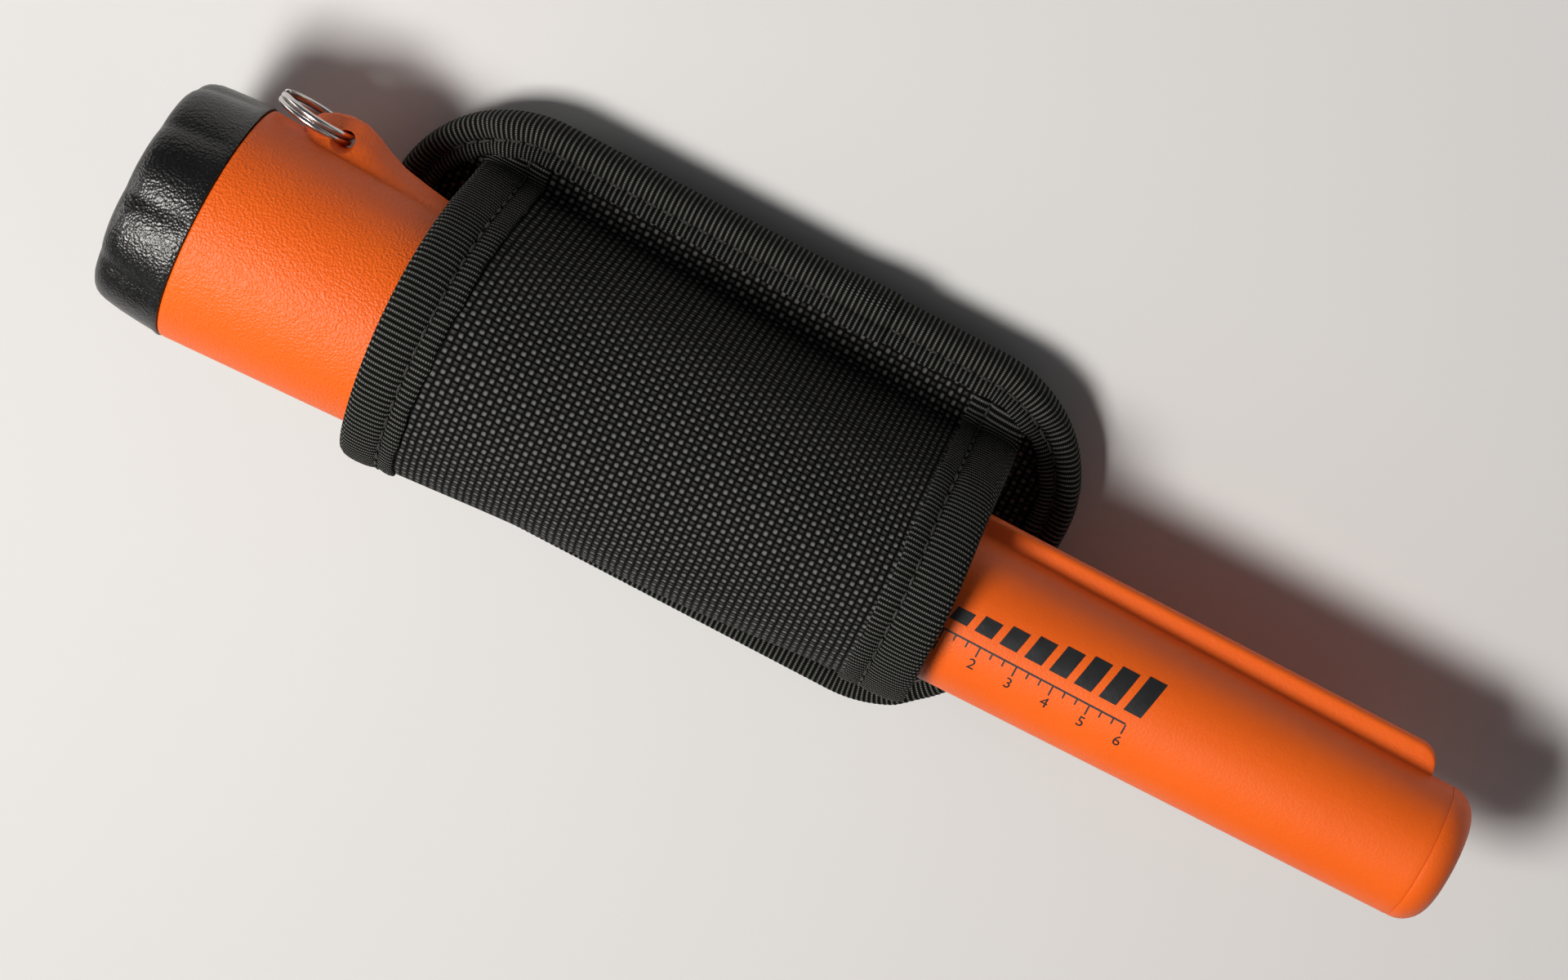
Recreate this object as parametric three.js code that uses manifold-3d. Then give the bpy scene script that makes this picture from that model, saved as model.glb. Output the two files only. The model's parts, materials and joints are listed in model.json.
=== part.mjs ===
// Pinpointer probe in its belt holster, in millimetres.
// Frame: +X runs along the probe from the battery cap to the sensing tip, +Z is up with the holster
// lying on its belt loop, and the origin is the middle of the belt loop's flat back face.
// Inside both groups x is the station along the probe, measured from the cap's outer end, and y and z
// are measured from the probe's own axis.
import * as THREE from "three";
import { mergeVertices } from "three/addons/utils/BufferGeometryUtils.js";
import Module from "manifold-3d";

const wasm = await Module();
wasm.setup();

// Driving dimensions
const LENGTH = 229; // cap end to tip end
const STATION_OF_ORIGIN = 93.2; // the belt loop's middle
const AXIS_HEIGHT = 30; // the probe's axis above the belt loop's back face
const PROBE_ROLL = THREE.MathUtils.degToRad(-20); // how the probe is turned in its holster
const GAP = 0.3; // clearance between neighbouring pieces

const MOUTH = 12.5; // station of the joint between the cap and the housing
const MOUTH_RADIUS = 19.6;
const HANDLE_TAPER = 0.0367; // radius lost per millimetre of handle
const SHOULDER = { start: 99, end: 113, radius: 12.85 }; // where the handle drops to the sensing tube
const TUBE_END = { station: 224, radius: 11.45 };
const TUBE_BORE = 9.9;
const handleRadius = (s) => MOUTH_RADIUS - (s - MOUTH) * HANDLE_TAPER;

// Colours and finishes
const plastic = (color, roughness = 0.55) => new THREE.MeshStandardMaterial({ color, roughness, metalness: 0 });
const metal = (color, roughness = 0.3) => new THREE.MeshStandardMaterial({ color, roughness, metalness: 1 });
const ORANGE = plastic(0xf26a1e, 0.5);
const BLACK = plastic(0x17181a, 0.5);
const RUBBER = plastic(0x1b1b1d, 0.8);
const WEAVE = plastic(0x141415, 0.9);
const TAPE = plastic(0x1a1b1a, 0.9);
const FOAM = plastic(0x3b3b3e, 1);
const WHITE = plastic(0xdcdad2, 0.6);
const GREEN = plastic(0x1f5b34, 0.4);
const STEEL = metal(0xb9bcc0);
const COPPER = metal(0xb8683a, 0.35);
const FERRITE = plastic(0x34332f, 0.7);
const CLEAR = plastic(0xe8f0f4, 0.1);

// Solids: closed geometry goes to manifold-3d for cuts and joins, and comes back as a geometry
function toSolid(geometry) {
  const bare = geometry.index ? geometry.toNonIndexed() : geometry.clone();
  bare.deleteAttribute("normal");
  bare.deleteAttribute("uv");
  const merged = mergeVertices(bare, 1e-4);
  const corners = merged.index.array;
  const kept = [];
  for (let i = 0; i < corners.length; i += 3) {
    const [a, b, c] = corners.slice(i, i + 3);
    if (a !== b && b !== c && c !== a) kept.push(a, b, c);
  }
  const make = (triangles) =>
    new wasm.Manifold(
      new wasm.Mesh({
        numProp: 3,
        vertProperties: merged.attributes.position.array,
        triVerts: new Uint32Array(triangles),
      }),
    );
  const solid = make(kept);
  return solid.volume() < 0 ? make(kept.reverse()) : solid;
}

function toGeometry(solid) {
  const { vertProperties, triVerts } = solid.getMesh();
  const geometry = new THREE.BufferGeometry();
  geometry.setAttribute("position", new THREE.BufferAttribute(vertProperties, 3));
  geometry.setIndex(new THREE.BufferAttribute(triVerts, 1));
  geometry.computeVertexNormals();
  return geometry;
}

const solidified = (geometry) => toGeometry(toSolid(geometry));
const join = (...geometries) => toGeometry(geometries.map(toSolid).reduce((a, b) => a.add(b)));
const cut = (body, ...tools) => toGeometry(tools.map(toSolid).reduce((a, b) => a.subtract(b), toSolid(body)));
const common = (a, b) => toGeometry(toSolid(a).intersect(toSolid(b)));

// A body of revolution about X from [station, radius] points
function turned(points, segments = 32) {
  const profile = points.map(([s, r]) => new THREE.Vector2(r, s));
  return solidified(new THREE.LatheGeometry(profile, segments).rotateZ(-Math.PI / 2));
}

const rod = (s0, s1, radius, y = 0, z = 0, segments = 20) =>
  new THREE.CylinderGeometry(radius, radius, s1 - s0, segments)
    .rotateZ(-Math.PI / 2)
    .translate((s0 + s1) / 2, y, z);
const post = (s, y, z0, z1, radius, segments = 16) =>
  new THREE.CylinderGeometry(radius, radius, z1 - z0, segments)
    .rotateX(Math.PI / 2)
    .translate(s, y, (z0 + z1) / 2);
const block = (s0, s1, y0, y1, z0, z1) =>
  new THREE.BoxGeometry(s1 - s0, y1 - y0, z1 - z0).translate((s0 + s1) / 2, (y0 + y1) / 2, (z0 + z1) / 2);
const washer = (s0, s1, inner, outer, segments = 20) =>
  turned([[s0, inner], [s1, inner], [s1, outer], [s0, outer], [s0, inner]], segments);

// A plate with its outline in the XY plane, from z0 up to z1
const plate = (shape, z0, z1, curveSegments = 8) =>
  new THREE.ExtrudeGeometry(shape, { depth: z1 - z0, bevelEnabled: false, curveSegments }).translate(0, 0, z0);

function roundedRectangle(x0, x1, halfWidth, radius) {
  const shape = new THREE.Shape();
  shape.absarc(x1 - radius, -halfWidth + radius, radius, -Math.PI / 2, 0);
  shape.absarc(x1 - radius, halfWidth - radius, radius, 0, Math.PI / 2);
  shape.absarc(x0 + radius, halfWidth - radius, radius, Math.PI / 2, Math.PI);
  shape.absarc(x0 + radius, -halfWidth + radius, radius, Math.PI, 1.5 * Math.PI);
  return shape;
}

const stadium = (centre, halfLength, halfWidth) =>
  roundedRectangle(centre - halfLength, centre + halfLength, halfWidth, halfWidth - 0.01);

// A round wire through hand-placed points
function wire(points, radius) {
  const path = new THREE.CatmullRomCurve3(points.map((p) => new THREE.Vector3(...p)));
  const section = new THREE.Shape().absarc(0, 0, radius, 0, 2 * Math.PI);
  return new THREE.ExtrudeGeometry(section, { steps: 10, curveSegments: 3, bevelEnabled: false, extrudePath: path });
}

// A right-hand screw line about X, with section x radial and section y along the axis
class ScrewLine extends THREE.Curve {
  constructor(radius, start, lead, turns) {
    super();
    Object.assign(this, { radius, start, lead, turns });
  }
  angleAt(t) {
    return 2 * Math.PI * this.turns * t;
  }
  getPoint(t, target = new THREE.Vector3()) {
    const a = this.angleAt(t);
    return target.set(this.start + this.lead * this.turns * t, this.radius * Math.cos(a), this.radius * Math.sin(a));
  }
  computeFrenetFrames(segments) {
    const frames = { tangents: [], normals: [], binormals: [] };
    for (let i = 0; i <= segments; i++) {
      const a = this.angleAt(i / segments);
      frames.tangents.push(this.getTangent(i / segments));
      frames.normals.push(new THREE.Vector3(0, Math.cos(a), Math.sin(a)));
      frames.binormals.push(new THREE.Vector3(-1, 0, 0));
    }
    return frames;
  }
}

function threadRidge(rootRadius, height, baseWidth, crestWidth, start, lead, turns) {
  const sunk = 0.4; // how far the ridge is sunk in its own spigot
  const section = new THREE.Shape([
    new THREE.Vector2(-sunk, -baseWidth / 2),
    new THREE.Vector2(height, -crestWidth / 2),
    new THREE.Vector2(height, crestWidth / 2),
    new THREE.Vector2(-sunk, baseWidth / 2),
  ]);
  const extrudePath = new ScrewLine(rootRadius, start, lead, turns);
  return new THREE.ExtrudeGeometry(section, { steps: Math.round(24 * turns), bevelEnabled: false, extrudePath });
}

// Nodes
const probe = new THREE.Group();
probe.rotation.x = PROBE_ROLL;
probe.position.set(-STATION_OF_ORIGIN, 0, AXIS_HEIGHT);
const holster = new THREE.Group();
holster.position.set(-STATION_OF_ORIGIN, 0, AXIS_HEIGHT);

function add(group, name, geometry, material) {
  const mesh = new THREE.Mesh(geometry, material);
  mesh.name = name;
  group.add(mesh);
}

// Screw thread between the cap's spigot and the housing's mouth
const THREAD = { lead: 4, height: 0.7, base: 2, crest: 0.9, clearance: 0.35, start: 17 };
const SPIGOT = { radius: 17.25, bore: 15.4, end: 21.8 };
const MOUTH_BORE = { radius: 17.65, end: 22.3 };

// Power button, on the handle's top
const BUTTON = { station: 82, halfLength: 8.6, halfWidth: 4.1, travel: 0.8, proud: 0.5 };
const BEZEL = { halfLength: 10.7, halfWidth: 6.2, wall: 1.8, proud: 0.35 };

// Lamp barrel, on the shoulder's top
const LAMP = { height: 14.1, barrel: 2.4, bore: 1.75, rear: 96, front: 113.5 };

// Lanyard eye and its split ring: the hole runs across the fin
const EYE = { station: 25, radius: 21.1, hole: 1.65, thickness: 4.2 };
const RING = { mean: 6.1, halfWidth: 0.55, halfHeight: 1.05, lift: THREE.MathUtils.degToRad(7) };

// Housing: one moulding, handle, shoulder and sensing tube
const outerProfile = (proud = 0) => [
  [MOUTH, 0],
  [MOUTH, MOUTH_RADIUS - 0.3 + proud],
  [MOUTH + 0.4, MOUTH_RADIUS + proud],
  [60, handleRadius(60) + proud],
  [SHOULDER.start, handleRadius(SHOULDER.start) + proud],
  ...shoulderCurve(6).map(([s, r]) => [s, r + proud]),
  [TUBE_END.station, TUBE_END.radius + proud],
  [TUBE_END.station, 0],
];

function shoulderCurve(steps) {
  const drop = handleRadius(SHOULDER.start) - SHOULDER.radius;
  return Array.from({ length: steps }, (_, i) => {
    const t = (i + 1) / steps;
    const ease = t * t * (3 - 2 * t);
    return [SHOULDER.start + t * (SHOULDER.end - SHOULDER.start), SHOULDER.radius + drop * (1 - ease)];
  });
}

function eyeFin() {
  const fin = new THREE.Shape();
  fin.moveTo(17.2, 10);
  fin.lineTo(17.2, 18);
  fin.bezierCurveTo(18.2, 22.2, 21, 24.6, 25.6, 24.6);
  fin.bezierCurveTo(31, 24.6, 31.5, 20.9, 39.5, 20.2);
  fin.bezierCurveTo(43, 19.7, 51, 18.4, 60, 17.2);
  fin.lineTo(60, 10);
  return centredFin(fin, EYE.thickness, 1.1);
}

function bladeFin() {
  const top = 15.8;
  const corner = 3.3;
  const end = 220;
  const fin = new THREE.Shape();
  fin.moveTo(100, 5);
  fin.lineTo(100, 12);
  fin.lineTo(106, top);
  fin.lineTo(end - corner, top);
  fin.quadraticCurveTo(end, top, end, top - corner);
  fin.lineTo(end, 5);
  return centredFin(fin, 4, 1);
}

// A fin standing along +Y with its outline in the XY plane, centred on z = 0 and with rounded edges
function centredFin(shape, thickness, round) {
  return new THREE.ExtrudeGeometry(shape, {
    depth: thickness - 2 * round,
    curveSegments: 5,
    bevelThickness: round,
    bevelSize: round,
    bevelOffset: -round,
    bevelSegments: 2,
  }).translate(0, 0, -thickness / 2 + round);
}

function housing() {
  const solid = join(
    turned(outerProfile(), 48),
    eyeFin(),
    bladeFin(),
    rod(LAMP.rear, LAMP.front, LAMP.barrel, 0, LAMP.height),
  );
  const bore = turned(
    [
      [MOUTH - 1, 0],
      [MOUTH - 1, MOUTH_BORE.radius],
      [MOUTH_BORE.end, MOUTH_BORE.radius],
      [MOUTH_BORE.end, 16.3],
      [68.3, 16.3],
      [68.3, 15],
      [SHOULDER.start, 14.3],
      [SHOULDER.end - 1, TUBE_BORE + 0.7],
      [SHOULDER.end + 6, TUBE_BORE],
      [TUBE_END.station + 1, TUBE_BORE],
      [TUBE_END.station + 1, 0],
    ],
    48,
  );
  const c = THREAD.clearance;
  const groove = threadRidge(
    MOUTH_BORE.radius,
    SPIGOT.radius + THREAD.height + c + 0.15 - MOUTH_BORE.radius,
    THREAD.base + 2 * c,
    THREAD.crest + 2 * c,
    THREAD.start - 2 * THREAD.lead,
    THREAD.lead,
    3.1,
  );
  const grilleHoles = [0, 1, 2, 3, 4, 5, 6].map((i) => {
    const a = (i * Math.PI) / 3;
    const off = i ? 2.6 : 0;
    return post(SPEAKER.station + off * Math.cos(a), off * Math.sin(a), 12, 19, 0.7, 10);
  });
  return cut(
    solid,
    bore,
    groove,
    plate(stadium(BUTTON.station, BEZEL.halfLength + GAP, BEZEL.halfWidth + GAP), 10, 20, 6),
    rod(LAMP.rear + 6, LAMP.front + 1, LAMP.bore, 0, LAMP.height, 16),
    post(EYE.station, 0, -5, 5, EYE.hole, 16).translate(0, EYE.radius, 0),
    ...grilleHoles,
  );
}

// Electronics bay: chassis plate below the board, battery bay behind it
const BOARD = { start: 70.6, end: 103, halfWidth: 12, bottom: 0, top: 1.6 };
const SPEAKER = { station: 97.2, radius: 5.6, bottom: 8.6, top: 11.6 };
const BATTERY = { start: 15.6, end: 61.8, halfWidth: 13.1, halfHeight: 8.5 };
const SCREWS = [72.5, 100.5].flatMap((s) => [-9.5, 9.5].map((y) => [s, y]));
const MOTOR = { height: -10.2, radius: 3.25, start: 75, end: 86 };

add(probe, "housing", housing(), ORANGE);

function tipCap() {
  const round = 4.7;
  const edge = TUBE_END.radius - round;
  const corner = Array.from({ length: 5 }, (_, i) => {
    const a = (i * Math.PI) / 8;
    return [LENGTH - round + round * Math.sin(a), edge + round * Math.cos(a)];
  });
  return turned(
    [
      [217, 7.5],
      [217, TUBE_BORE - 0.35],
      [TUBE_END.station + GAP, TUBE_BORE - 0.35],
      [TUBE_END.station + GAP, TUBE_END.radius],
      ...corner.slice(1),
      [LENGTH, 0],
      [TUBE_END.station + 1.5, 0],
      [TUBE_END.station + 1.5, 7.5],
      [217, 7.5],
    ],
    40,
  );
}
add(probe, "tip_cap", tipCap(), ORANGE);

// Battery cap: fluted grip, threaded spigot and seal
function batteryCap() {
  const grip = turned(
    [
      [0, 0],
      [0, 15],
      [0.7, 16.6],
      [2.2, 17.6],
      [MOUTH - GAP - 0.4, MOUTH_RADIUS - 0.1],
      [MOUTH - GAP, MOUTH_RADIUS - 0.4],
      [MOUTH - GAP, SPIGOT.radius],
      [13, SPIGOT.radius],
      [13, 15.95],
      [15.4, 15.95],
      [15.4, SPIGOT.radius],
      [SPIGOT.end, SPIGOT.radius],
      [SPIGOT.end, SPIGOT.bore],
      [9.9, SPIGOT.bore],
      [9.9, 0],
    ],
    45,
  );
  const { height, base, crest, start, lead } = THREAD;
  const ridge = threadRidge(SPIGOT.radius, height, base, crest, start, lead, 0.9);
  const flutes = Array.from({ length: 9 }, (_, i) =>
    new THREE.CylinderGeometry(3.2, 3.2, 14, 12)
      .rotateZ(-Math.PI / 2 + 0.12)
      .translate(3.5, 20.5, 0)
      .rotateX(((i + 0.41) * 2 * Math.PI) / 9),
  );
  return cut(join(grip, ridge), ...flutes);
}
add(probe, "battery_cap", batteryCap(), BLACK);
add(
  probe,
  "cap_seal",
  new THREE.TorusGeometry(16.8, 0.5, 6, 32).rotateY(Math.PI / 2).translate(14.2, 0, 0),
  RUBBER,
);
add(probe, "battery_pad", rod(10.2, BATTERY.start - GAP, 15, 0, 0, 32), FOAM);

// Battery and its snap terminals
function batteryCase() {
  const { halfWidth, halfHeight, start, end } = BATTERY;
  const section = roundedRectangle(-halfWidth, halfWidth, halfHeight, 1.8);
  return plate(section, start, end, 3).rotateZ(Math.PI / 2).rotateY(Math.PI / 2);
}
add(probe, "battery_case", batteryCase(), BLACK);

const STUD_OFFSET = 6.35;
const terminalBoard = join(
  block(62.1, 63.2, -11.5, 11.5, -6.5, 6.5),
  rod(63, 65.3, 2.9, STUD_OFFSET, 0, 20),
  cut(rod(63, 65.3, 3.8, -STUD_OFFSET, 0, 6), rod(63.6, 66, 2.7, -STUD_OFFSET, 0, 20)),
);
add(probe, "battery_terminals", terminalBoard, STEEL);

const snapSocket = turned(
  [[63.6, 3.3], [63.6, 4], [66.2, 4], [66.2, 1], [68.5, 1], [68.5, 0], [65.6, 0], [65.6, 3.3], [63.6, 3.3]],
  16,
).translate(0, STUD_OFFSET, 0);
const snapStud = join(
  rod(63.9, 65.9, 2.3, -STUD_OFFSET, 0, 20),
  rod(65.7, 66.2, 4, -STUD_OFFSET, 0, 20),
  rod(66, 68.5, 1, -STUD_OFFSET, 0, 12),
);
add(probe, "snap_socket", snapSocket, STEEL);
add(probe, "snap_stud", snapStud, STEEL);
const contactPlate = cut(
  rod(66.5, 68, 15.9, 0, 0, 36),
  rod(66, 69, 1.4, STUD_OFFSET, 0, 12),
  rod(66, 69, 1.4, -STUD_OFFSET, 0, 12),
);
add(probe, "contact_plate", contactPlate, BLACK);

// Chassis with four bosses under the board, a cradle for the motor and a collar for the ferrite rod
function chassis() {
  const bosses = SCREWS.map(([s, y]) => post(s, y, -5, BOARD.bottom - GAP, 2, 14));
  const pilots = SCREWS.map(([s, y]) => post(s, y, -4.2, 1, 0.85, 8));
  const body = join(
    block(70, 103, -11, 11, -6, -4.4),
    ...bosses,
    block(76, 84, 3.7, 5, -10.5, -5.8),
    block(76, 84, -5, -3.7, -10.5, -5.8),
    block(102, 112, -3, 3, -6, -4.4),
    washer(108.5, 115, 4.4, 5.7, 20),
  );
  return cut(body, ...pilots);
}
add(probe, "chassis", chassis(), BLACK);

const circuitBoard = cut(
  block(BOARD.start, BOARD.end, -BOARD.halfWidth, BOARD.halfWidth, BOARD.bottom, BOARD.top),
  ...SCREWS.map(([s, y]) => post(s, y, -1, 3, 1.3, 12)),
);
add(probe, "circuit_board", circuitBoard, GREEN);
SCREWS.forEach(([s, y], i) => {
  const screw = join(post(s, y, BOARD.top + GAP, BOARD.top + GAP + 1.2, 2, 16), post(s, y, -2.6, 2.4, 0.45, 8));
  add(probe, `board_screw_${i + 1}`, screw, STEEL);
});

const CHIP_SEAT = BOARD.top + GAP;
add(probe, "microcontroller", block(91, 100, -4.5, 4.5, CHIP_SEAT, CHIP_SEAT + 1.4), BLACK);
add(probe, "capacitor", post(76.5, -5.5, CHIP_SEAT, CHIP_SEAT + 5.5, 2.5), BLACK);
add(probe, "crystal", block(74.5, 78.5, 3, 8, CHIP_SEAT, CHIP_SEAT + 3), STEEL);
add(probe, "coil_connector", block(95, 102, -11, -6.5, CHIP_SEAT, CHIP_SEAT + 3.5).translate(-6, 0, 0), WHITE);

// Switch, button and bezel
const SWITCH = { bodyTop: 5.4, plungerTop: 6.3, stemGap: 0.6 };
const switchBody = cut(
  block(BUTTON.station - 3, BUTTON.station + 3, -3, 3, CHIP_SEAT, SWITCH.bodyTop),
  post(BUTTON.station, 0, 3.7, 6, 1.9, 16),
);
add(probe, "switch_body", switchBody, BLACK);
add(probe, "switch_plunger", post(BUTTON.station, 0, 4.3, SWITCH.plungerTop, 1.55, 16), WHITE);

const skin = (proud) => turned(outerProfile(proud), 48);
const powerButton = join(
  common(plate(stadium(BUTTON.station, BUTTON.halfLength, BUTTON.halfWidth), 12.8, 19), skin(BUTTON.proud)),
  post(BUTTON.station, 0, SWITCH.plungerTop + SWITCH.stemGap, 13.4, 1.4, 16),
);
add(probe, "power_button", powerButton, RUBBER);
const bezelRing = cut(
  plate(stadium(BUTTON.station, BEZEL.halfLength, BEZEL.halfWidth), 13, 19),
  plate(stadium(BUTTON.station, BEZEL.halfLength - BEZEL.wall, BEZEL.halfWidth - BEZEL.wall), 12, 20),
);
add(probe, "button_bezel", common(bezelRing, skin(BEZEL.proud)), BLACK);

// Loudspeaker under its grille, lamp and lens
add(probe, "speaker", post(SPEAKER.station, 0, SPEAKER.bottom, SPEAKER.top, SPEAKER.radius, 24), BLACK);
add(probe, "speaker_membrane", post(SPEAKER.station, 0, 12.6, 12.9, 3.9, 24), FOAM);
add(probe, "lamp_bulb", rod(106, 111.3, 1.4, 0, LAMP.height, 16), WHITE);
add(probe, "lamp_lens", rod(111.6, LAMP.front - 0.2, LAMP.bore - GAP, 0, LAMP.height, 16), CLEAR);

// Vibration motor with its off-centre weight
const motorCan = cut(
  rod(MOTOR.start, MOTOR.end, MOTOR.radius, 0, MOTOR.height),
  rod(MOTOR.end - 2.5, MOTOR.end + 1, 0.85, 0, MOTOR.height, 12),
);
add(probe, "motor_can", motorCan, STEEL);
const weightSector = new THREE.Shape().absarc(0, 0, 2.9, 0.15, Math.PI - 0.15);
const motorWeight = join(
  plate(weightSector, 87.5, 91.5, 8).rotateZ(-Math.PI / 2).rotateY(Math.PI / 2).translate(0, 0, MOTOR.height),
  rod(87.5, 91.5, 1, 0, MOTOR.height, 12),
  rod(MOTOR.end - 2, 92, 0.5, 0, MOTOR.height, 12),
);
add(probe, "motor_weight", motorWeight, STEEL);

// Sensing coils on a ferrite rod
add(probe, "ferrite_rod", rod(109, 212, 4, 0, 0, 20), FERRITE);
const FLANGES = [120, 148.5, 176, 203];
const bobbin = join(washer(120, 204.5, 4.4, 5.2), ...FLANGES.map((s) => washer(s, s + 1.5, 4.8, 8.8)));
add(probe, "coil_bobbin", bobbin, WHITE);
["transmit_coil_rear", "receive_coil", "transmit_coil_front"].forEach((name, i) => {
  const outer = name === "receive_coil" ? 8.2 : 7.3;
  add(probe, name, washer(FLANGES[i] + 1.5 + GAP, FLANGES[i + 1] - GAP, 5.55, outer), COPPER);
});
add(probe, "rod_cushion", washer(205, 211, 4.4, 9.5), FOAM);

// Leads: coil connector to bobbin, battery contacts to board
[0, 1].forEach((i) => {
  const y = -7.4 - i * 1.6;
  const from = [96.6, y - 0.2, 3.6];
  add(
    probe,
    `coil_lead_${i + 1}`,
    wire([from, [101, y, 4.2], [106.5, y * 0.97, 3.2], [113, y * 0.86, 1.8], [119.4, y * 0.86, 1]], 0.45),
    COPPER,
  );
});
[-1, 1].forEach((side, i) => {
  const y = side * STUD_OFFSET;
  const rise = [[69.4, y, -0.4], [69.4, y, 1.5], [69.9, y, 2.9], [71.2, y, 3.2], [72.2, y, 2.5]];
  add(probe, `battery_lead_${i + 1}`, wire(rise, 0.4), RUBBER);
});

// Split ring, lying back towards the cap from the eye
function splitRing() {
  const { halfWidth, halfHeight, mean, lift } = RING;
  const points = [];
  for (let i = 0; i <= 8; i++) {
    const a = -Math.PI / 2 + (i * 2 * Math.PI) / 8;
    points.push(new THREE.Vector2(mean + halfWidth * Math.cos(a), halfHeight * Math.sin(a)));
  }
  return solidified(new THREE.LatheGeometry(points, 28))
    .translate(-mean, 0, 0)
    .rotateZ(-lift)
    .translate(EYE.station, EYE.radius, 0);
}
add(probe, "split_ring", splitRing(), STEEL);

// Holster: stiff back panel, arched front sleeve with sewn flanges, bound edges and a belt loop
const PANEL = { start: 32.7, end: 153.6, halfWidth: 33, corner: 22.3, front: -20.5, back: -22.7 };
const BINDING = { reach: 0.7, cover: 6.1, thickness: 0.7 };
const SLEEVE = { start: 44.5, end: 141, radius: 22, thickness: 2, base: 22.4, bottom: -20.2, flange: 1.2 };

// The arch narrows towards the tip, less on the side where the scraping blade passes
function taper(geometry) {
  const position = geometry.attributes.position;
  const { start, end, base, bottom, radius } = SLEEVE;
  const edge = PANEL.halfWidth;
  for (let i = 0; i < position.count; i++) {
    const along = THREE.MathUtils.clamp((position.getX(i) - start) / (end - start), 0, 1) ** 1.2;
    const y = position.getY(i);
    const side = Math.sign(y);
    const narrow = 1 - along * (y < 0 ? 0.225 : 0.115);
    const footOut = (edge - base * narrow) / (edge - base);
    const reach = Math.abs(y);
    const out = reach <= base ? reach * narrow : base * narrow + (reach - base) * footOut;
    const rise = position.getZ(i) - bottom;
    const lower = 1 - (4.9 * along) / (radius - bottom);
    position.setXYZ(i, position.getX(i), side * out, bottom + rise * (rise > 0 ? lower : 1));
  }
  return geometry;
}

// The sleeve's hat-shaped section between two offsets of its own skin
function sleeveSection(grow, shrink, halfWidth) {
  const { radius, thickness, base, bottom, flange } = SLEEVE;
  const top = bottom + flange + grow;
  const outer = radius + grow;
  const inner = radius - thickness - shrink;
  const foot = base + grow;
  const shape = new THREE.Shape();
  shape.moveTo(halfWidth, top);
  shape.lineTo(foot + 2.2, top);
  shape.quadraticCurveTo(foot + 0.1, top, foot, top + 2.4);
  shape.lineTo(outer, 0);
  shape.absarc(0, 0, outer, 0, Math.PI);
  shape.lineTo(-foot, top + 2.4);
  shape.quadraticCurveTo(-foot - 0.1, top, -foot - 2.2, top);
  shape.lineTo(-halfWidth, top);
  shape.lineTo(-halfWidth, bottom);
  shape.lineTo(-(base - thickness - shrink), bottom);
  shape.lineTo(-inner, 0);
  shape.absarc(0, 0, inner, Math.PI, 0, true);
  shape.lineTo(base - thickness - shrink, bottom);
  shape.lineTo(halfWidth, bottom);
  shape.closePath();
  return shape;
}

function hat(s0, s1, grow, shrink, halfWidth, steps) {
  const section = sleeveSection(grow, shrink, halfWidth);
  const settings = { depth: s1 - s0, steps, bevelEnabled: false, curveSegments: 14 };
  const geometry = new THREE.ExtrudeGeometry(section, settings);
  // section x goes to +Y and section y to +Z, and the depth runs along +X
  const place = new THREE.Matrix4().set(0, 0, 1, s0, 1, 0, 0, 0, 0, 1, 0, 0, 0, 0, 0, 1);
  return taper(geometry.applyMatrix4(place));
}

const panelOutline = (grow) =>
  roundedRectangle(PANEL.start - grow, PANEL.end + grow, PANEL.halfWidth + grow, PANEL.corner + grow);
const SEAM = 1; // how far the sleeve's flanges stop short of the panel's edge
const OVER_FLANGE = SLEEVE.bottom + SLEEVE.flange + GAP; // inside of the panel's binding over the flanges

const sleeve = common(
  hat(SLEEVE.start, SLEEVE.end, 0, 0, PANEL.halfWidth - SEAM, 5),
  plate(panelOutline(-SEAM), SLEEVE.bottom - 1, 40, 8),
);
add(holster, "front_sleeve", sleeve, WEAVE);

// Tape folded over one end of the sleeve, open where it meets the panel
function sleeveTape([s0, s1], [slot0, slot1], gap, thickness) {
  const outer = gap + thickness;
  const folded = cut(hat(s0, s1, outer, outer, 27.3, 1), hat(slot0, slot1, gap, gap, 40, 1));
  const seam = cut(
    block(s0 - 1, s1 + 1, -40, 40, SLEEVE.bottom - 1, OVER_FLANGE + BINDING.thickness + GAP),
    plate(panelOutline(BINDING.reach - BINDING.cover - GAP - 0.1), -30, 0, 8),
  );
  const underFlange = plate(panelOutline(0), SLEEVE.bottom - 1, SLEEVE.bottom + SLEEVE.flange + gap, 8);
  return cut(folded, seam, common(underFlange, block(s0 - 1, s1 + 1, -40, 40, -30, 0)));
}
add(holster, "sleeve_binding_top", sleeveTape([43.4, 54.2], [44.15, 60], 0.33, 0.62), TAPE);
add(holster, "sleeve_binding_bottom", sleeveTape([131.6, 142.1], [125, 141.35], 0.42, 0.68), TAPE);

add(holster, "back_panel", plate(panelOutline(0), PANEL.back, PANEL.front, 8), WEAVE);

// Tape folded round the panel's whole edge, raised where it also covers the sleeve's flanges
function panelBinding() {
  const { thickness, reach, cover } = BINDING;
  const overPanel = PANEL.front + GAP + thickness;
  const overFlange = OVER_FLANGE + thickness;
  const sides = common(
    plate(panelOutline(reach), overPanel - 0.4, overFlange, 8),
    block(SLEEVE.start - 2.1, SLEEVE.end + 2.1, -50, 50, -30, 0),
  );
  const flanges = common(
    hat(SLEEVE.start - 1.4, SLEEVE.end + 1.4, 0.35, 0.35, 40, 5),
    plate(panelOutline(0.4 - SEAM), -30, 0, 8),
  );
  return cut(
    join(plate(panelOutline(reach), PANEL.back - GAP - thickness, overPanel, 8), sides),
    plate(panelOutline(reach - cover), -30, 0, 8),
    plate(panelOutline(GAP), PANEL.back - GAP, PANEL.front + GAP + 0.02, 8),
    flanges,
  );
}
add(holster, "panel_binding", panelBinding(), TAPE);

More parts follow.
